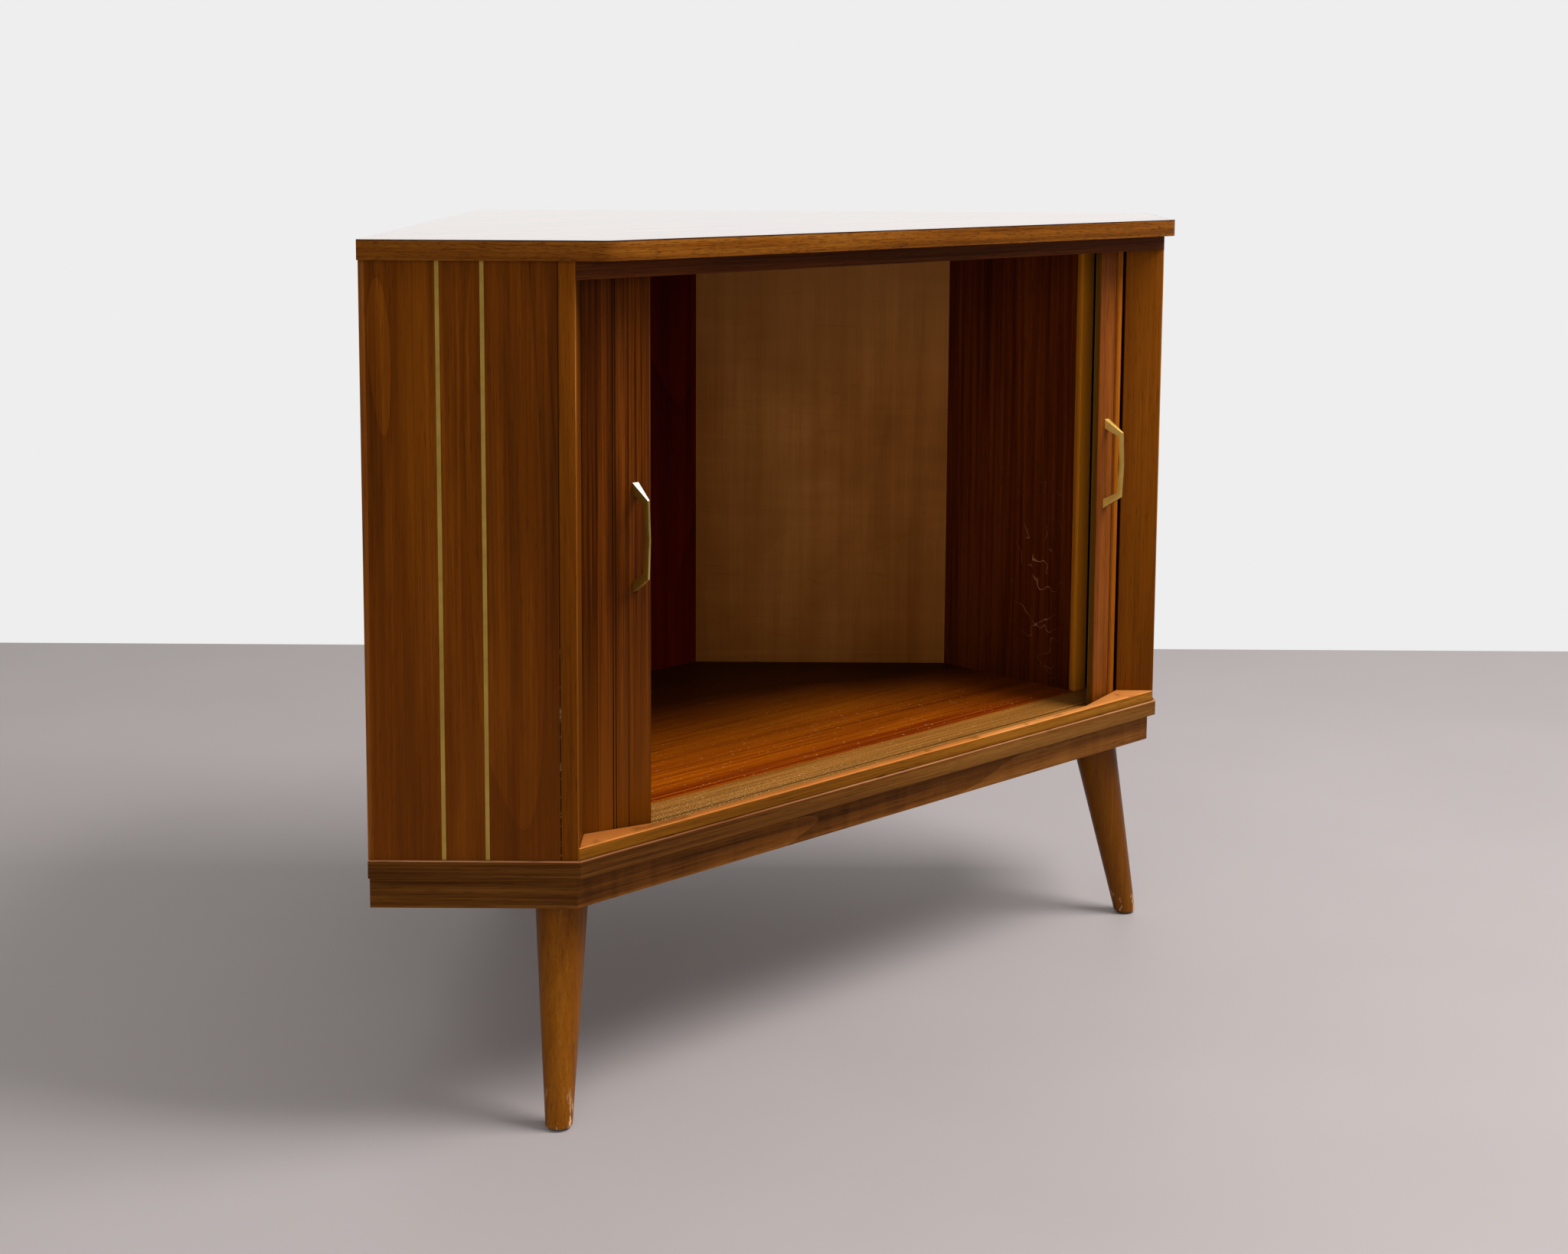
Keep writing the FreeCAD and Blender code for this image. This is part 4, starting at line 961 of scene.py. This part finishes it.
def ends_of(leg):
    """The vertices of a leg's foot, the middle of its foot and the middle of its head."""
    spots = [vertex.co for vertex in leg.data.vertices]
    foot = [co for co in spots if co.z < FOOT_ZONE]
    head = [co for co in spots if co.z > HEAD_ZONE]
    return foot, sum(foot, Vector()) / len(foot), sum(head, Vector()) / len(head)

def fill_out(leg):
    """Makes a leg a little thicker about its own axis."""
    _, low, high = ends_of(leg)
    axis = (high - low).normalized()
    for vertex in leg.data.vertices:
        along = low + axis * (vertex.co - low).dot(axis)
        vertex.co = along + (vertex.co - along) * LEG_FULLNESS

def level_foot(leg):
    """Lets the foot of a leaning leg down until it is level, just above the floor."""
    foot, low, high = ends_of(leg)
    lean = low - high
    slope = lean.xy / -lean.z
    lowest = min(co.z - (co - low).xy.dot(slope) for co in foot)
    for co in foot:
        co.z -= lowest + (co - low).xy.dot(slope) - FOOT_HEIGHT

for node in ("leg_front_left", "leg_front_right", "leg_rear"):
    leg = copy_node(node, node + "_turned")
    fill_out(leg)
    level_foot(leg)
    give(leg, leg_wood)
    smooth(leg, 40)
    stand_for(leg, node)
    print(node, len(leg.data.polygons), "faces")

# %% [markdown]
# Cast brass pulls
#
# Each pull is a bent bar with slanting sides. Its outer face is broad at the screws and narrows to
# a thin flat along the grip, so the upper leg shows a triangle, which gets a white painted
# highlight on the left pull. It could be a curve with a bevel profile, but a section that changes
# is easier by extrusion: a square is drawn at the first foot and extruded from station to station,
# and its corners are set at each one.

# %% Sections of a pull
SLAT_FACE = -0.2935
PULL_MIDDLE = 0.512
GRIP_LEAN = 0.0024  # the grips lean a little, each towards its own corner
EXTRUDE_STEP = Vector((0, 0, -0.01))
# (depth, height and half width of the outer face, then of the inner face, and the share of lean)
PULL_STATIONS = (
    (0.0000, 0.0480, 0.0036, 0.0000, 0.0380, 0.0036, 0.0),
    (0.0200, 0.0345, 0.0011, 0.0152, 0.0300, 0.0018, 1.0),
    (0.0216, 0.0000, 0.0011, 0.0168, 0.0000, 0.0018, 1.0),
    (0.0200, -0.0345, 0.0011, 0.0152, -0.0300, 0.0018, 1.0),
    (0.0000, -0.0480, 0.0036, 0.0000, -0.0380, 0.0036, 0.0),
)

def put_section(piece, ring, station, centre):
    """Moves the four vertices of ring to the corners of one station."""
    depth, height, half, inner_depth, inner_height, inner_half, leaning = station
    spot = centre + leaning * math.copysign(GRIP_LEAN, centre)
    outer = (SLAT_FACE - depth, PULL_MIDDLE + height)
    inner = (SLAT_FACE - inner_depth, PULL_MIDDLE + inner_height)
    corners = ((spot - half, *outer), (spot + half, *outer),
               (spot + inner_half, *inner), (spot - inner_half, *inner))
    for index, corner in zip(ring, corners):
        piece.data.vertices[index].co = corner

def extrude_ring(piece, ring):
    """Extrudes the selected end of piece and returns its new vertices, in the order of ring."""
    aims = [piece.data.vertices[i].co + EXTRUDE_STEP for i in ring]
    only(piece)
    bpy.ops.object.mode_set(mode="EDIT")
    bpy.ops.mesh.extrude_region_move(TRANSFORM_OT_translate={"value": EXTRUDE_STEP})
    bpy.ops.object.mode_set(mode="OBJECT")
    new = [vertex for vertex in piece.data.vertices if vertex.select]
    return [min(new, key=lambda vertex: (vertex.co - spot).length).index for spot in aims]

print("sections of a pull:", len(PULL_STATIONS))

# %% Pulls
def crown_face(normal, centre):
    """The face of the upper leg that looks up."""
    return normal.z > 0.6 and centre.z > PULL_MIDDLE + 0.034

def cheek_face(normal, centre):
    """The faces of a pull that look left and right."""
    return abs(normal.x) > 0.7

def make_pull(name, centre, node, cheeks, crown):
    """A faceted bracket pull, built section by section down from its upper foot."""
    foot = (centre, SLAT_FACE, PULL_MIDDLE)
    piece = start_piece(bpy.ops.mesh.primitive_plane_add, name, size=0.008, location=foot)
    ring = list(piece.data.polygons[0].vertices)
    put_section(piece, ring, PULL_STATIONS[0], centre)
    for station in PULL_STATIONS[1:]:
        ring = extrude_ring(piece, ring)
        put_section(piece, ring, station, centre)
    merge(piece, MERGE_DISTANCE / 2)
    round_edges(piece, 0.00025, 2, 20)
    smooth(piece, 30)
    give(piece, pull_brass)
    paint(piece, crown, crown_face)
    paint(piece, cheeks, cheek_face)
    stand_for(piece, node)
    print(name, len(piece.data.polygons), "faces")

# Painted shade on the left pull's sides with a painted highlight on top; painted light on the
# right.
PULL_FINISHES = (("left", shaded_brass, painted_highlight_brass), ("right", lit_golden_brass, lit_golden_brass))
for side, cheeks, crown in PULL_FINISHES:
    low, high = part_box("pull_" + side)
    make_pull("cast_pull_" + side, (low[0] + high[0]) / 2, "pull_" + side, cheeks, crown)

# %% [markdown]
# The curtain of slats between a door and its corner
#
# When a door is drawn across, slats come round the corner after it. At rest they are out of sight
# in the pocket, and here they wait in the two millimetres beside the corner. The curtain is
# modelled drawn out, with an Array modifier, and each vertex is then pushed back to the place from
# which the frame's blend brings it out again. Scaling it all would be simpler, but the blend eases
# in and out, so the first and last slats would come out narrow and the middle ones wide.

# %% Where a gathered slat waits
HALVINGS = 60

def gathered_place(drawn, start, end, travel):
    """The rest place in start..end that the blend carries to drawn."""
    low, high = 0.0, 1.0
    for _ in range(HALVINGS):
        t = (low + high) / 2
        reached = start + t * (end - start) + t * t * (3 - 2 * t) * travel
        if (reached - drawn) * math.copysign(1.0, travel) < 0:
            low = t
        else:
            high = t
    return start + low * (end - start)

print("half of a 300 mm travel comes from", round(gathered_place(0.15, 0.0, 0.002, 0.3), 4))

# %% Curtains
SLAT_BACK = -0.2865
SLAT_FOOT = 0.2423
SLAT_HEAD = 0.7607
SLAT_GAP = 0.0002
SLAT_ROUNDING = 0.0007

def slat_blank(name, left, width):
    """The first slat of a curtain, a plain bar that is still square."""
    middle = (left + width / 2, (SLAT_FRONT + SLAT_BACK) / 2, (SLAT_FOOT + SLAT_HEAD) / 2)
    size = (abs(width) - SLAT_GAP, SLAT_BACK - SLAT_FRONT, SLAT_HEAD - SLAT_FOOT)
    return start_piece(bpy.ops.mesh.primitive_cube_add, name, size, size=1.0, location=middle)

def round_slat(piece):
    """Rounds the two upright front edges, in the second material."""
    bpy.ops.object.mode_set(mode="EDIT")
    bpy.ops.mesh.select_all(action="DESELECT")
    bpy.ops.object.mode_set(mode="OBJECT")
    for edge in piece.data.edges:
        ends = [piece.data.vertices[i].co for i in edge.vertices]
        tall = abs(ends[0].z - ends[1].z) > 0.1
        edge.select = tall and all(abs(co.y - SLAT_FRONT) < 0.0001 for co in ends)
    bpy.ops.object.mode_set(mode="EDIT")
    bpy.ops.mesh.bevel(offset=SLAT_ROUNDING, segments=2, material=1)
    bpy.ops.object.mode_set(mode="OBJECT")

def draw_curtain(name, start, end, travel, count, node, finish):
    """count slats from start to end + travel, gathered into start..end."""
    pitch = (end + travel - start) / count
    piece = slat_blank(name, start, pitch)
    # The rounded front edges get the second finish, near-black painted shade for the gaps.
    give(piece, finish, joint_shade_wood)
    round_slat(piece)
    row = piece.modifiers.new("row", "ARRAY")
    row.count = count
    row.use_relative_offset = False
    row.use_constant_offset = True
    row.constant_offset_displace = (pitch, 0, 0)
    apply_modifiers(piece)
    for vertex in piece.data.vertices:
        vertex.co.x = gathered_place(vertex.co.x, start, end, travel)
    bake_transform(piece)
    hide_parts(node)
    print(name, count, "slats of", round(abs(pitch) * 1000, 2), "mm when drawn")

TRAVEL = {joint["child"]: joint["range_m"][1] * joint["axis"][0] for joint in frame["joints"]}
draw_curtain("curtain_left", -0.3476, -0.3456, TRAVEL["left_door"], 20,
             "gathered_slats_left", slat_wood)
draw_curtain("curtain_right", 0.3595, 0.3575, TRAVEL["right_door"], 22,
             "gathered_slats_right", lit_slat_wood)

# %% [markdown]
# The floor
#
# A plain pale floor carries the shadow. It could curve up into a backdrop, but the world is pale
# too, so a plane is enough. It is turned by 45 degrees, as the camera is, and lengthened.

# %% Floor
FLOOR_SIZE = 2.84
FLOOR_LENGTHENING = 1.8

ground = start_piece(bpy.ops.mesh.primitive_plane_add, "studio_floor", (1, FLOOR_LENGTHENING, 1),
                     size=FLOOR_SIZE, rotation=(0, 0, math.radians(45)))
floor_finish, tree, shader = start_finish("studio_floor")
speckle = pattern(tree, object_place(tree), (3, 3, 3), detail=3.0)
floor_colour = tint(tree, speckle, shade(155, 147, 146), shade(163, 155, 154))
plug(tree, shader.inputs["Base Color"], floor_colour)
shader.inputs["Roughness"].default_value = 0.6
give(ground, floor_finish)
print("floor of", FLOOR_SIZE, "by", round(FLOOR_SIZE * FLOOR_LENGTHENING, 2))

# %% [markdown]
# Light from all round
#
# The cabinet stands in soft light that comes from all round. A closed white room could be modelled,
# but its light would bounce for long. Instead the world plays the room: to the camera it is plain
# white, to matt surfaces a dim fill, and to gloss a room that is bright on one side only, so that
# white shows in the varnish without washing the object out.

# %% World
WALL_WHITE = shade(238, 238, 238)
FILL_COLOUR = (1.0, 0.985, 0.97, 1.0)
FILL_STRENGTH = 0.42
BRIGHT_SIDE = (0.69, 0.69, 0.22)  # the way in which the room that gloss sees is brightest

def sky(tree, colour, strength):
    """One background shader."""
    node = tree.nodes.new("ShaderNodeBackground")
    node.inputs["Color"].default_value = colour
    plug(tree, node.inputs["Strength"], strength)
    return node.outputs["Background"]

def either(tree, factor, first, second):
    """One mix of two background shaders."""
    node = tree.nodes.new("ShaderNodeMixShader")
    plug(tree, node.inputs["Fac"], factor)
    tree.links.new(first, node.inputs[1])
    tree.links.new(second, node.inputs[2])
    return node.outputs["Shader"]

world = bpy.data.worlds.new("white_room")
bpy.context.scene.world = world
world.use_nodes = True
tree = world.node_tree
tree.nodes.clear()
output = tree.nodes.new("ShaderNodeOutputWorld")
rays = tree.nodes.new("ShaderNodeLightPath").outputs
facing = tree.nodes.new("ShaderNodeVectorMath")
facing.operation = "DOT_PRODUCT"
tree.links.new(tree.nodes.new("ShaderNodeTexCoord").outputs["Generated"], facing.inputs[0])
facing.inputs[1].default_value = BRIGHT_SIDE
room = spread(tree, facing.outputs["Value"], 0.0, 0.75, 0.10, 1.0)
fill = sky(tree, FILL_COLOUR, FILL_STRENGTH)
gloss = sky(tree, (1.0, 1.0, 1.0, 1.0), room)
wall = sky(tree, WALL_WHITE, 1.0)
seen = sums(tree, "MAXIMUM", rays["Is Camera Ray"], rays["Is Transmission Ray"])
lit = either(tree, rays["Is Glossy Ray"], fill, gloss)
tree.links.new(either(tree, seen, lit, wall), output.inputs["Surface"])
print("world:", world.name)

# %% [markdown]
# The lamps
#
# Soft light comes from the upper right, so the doors are about twice as bright as the side panel.
# A sun would draw hard shadows, so the lamps are big areas: the main one, a weak one above, and one
# low in front, which is hidden from gloss, because it would show as a square in the varnish.

# %% Lamps
LAMP_AIM = Vector((0, 0, 0.45))

def lamp(name, spot, size, power):
    """A square area lamp aimed at the middle of the cabinet."""
    light = bpy.data.lights.new(name, "AREA")
    light.size = size
    light.energy = power
    holder = bpy.data.objects.new(name, light)
    bpy.context.scene.collection.objects.link(holder)
    holder.location = spot
    holder.rotation_euler = (LAMP_AIM - Vector(spot)).to_track_quat("-Z", "Y").to_euler()
    print(name, power, "W")
    return holder

lamp("key_softbox", (1.25, -2.0, 3.3), 1.8, 170)
lamp("top_softbox", (-0.2, -0.6, 3.0), 2.0, 12)
fill_lamp = lamp("front_fill", (-2.0, -2.4, 0.9), 2.0, 40)
fill_lamp.visible_glossy = False

# %% [markdown]
# View
#
# The Standard view shows a colour as it is written, while a filmic one would grey it.

# %% View settings
bpy.context.scene.view_settings.view_transform = "Standard"
print("view:", bpy.context.scene.view_settings.view_transform)
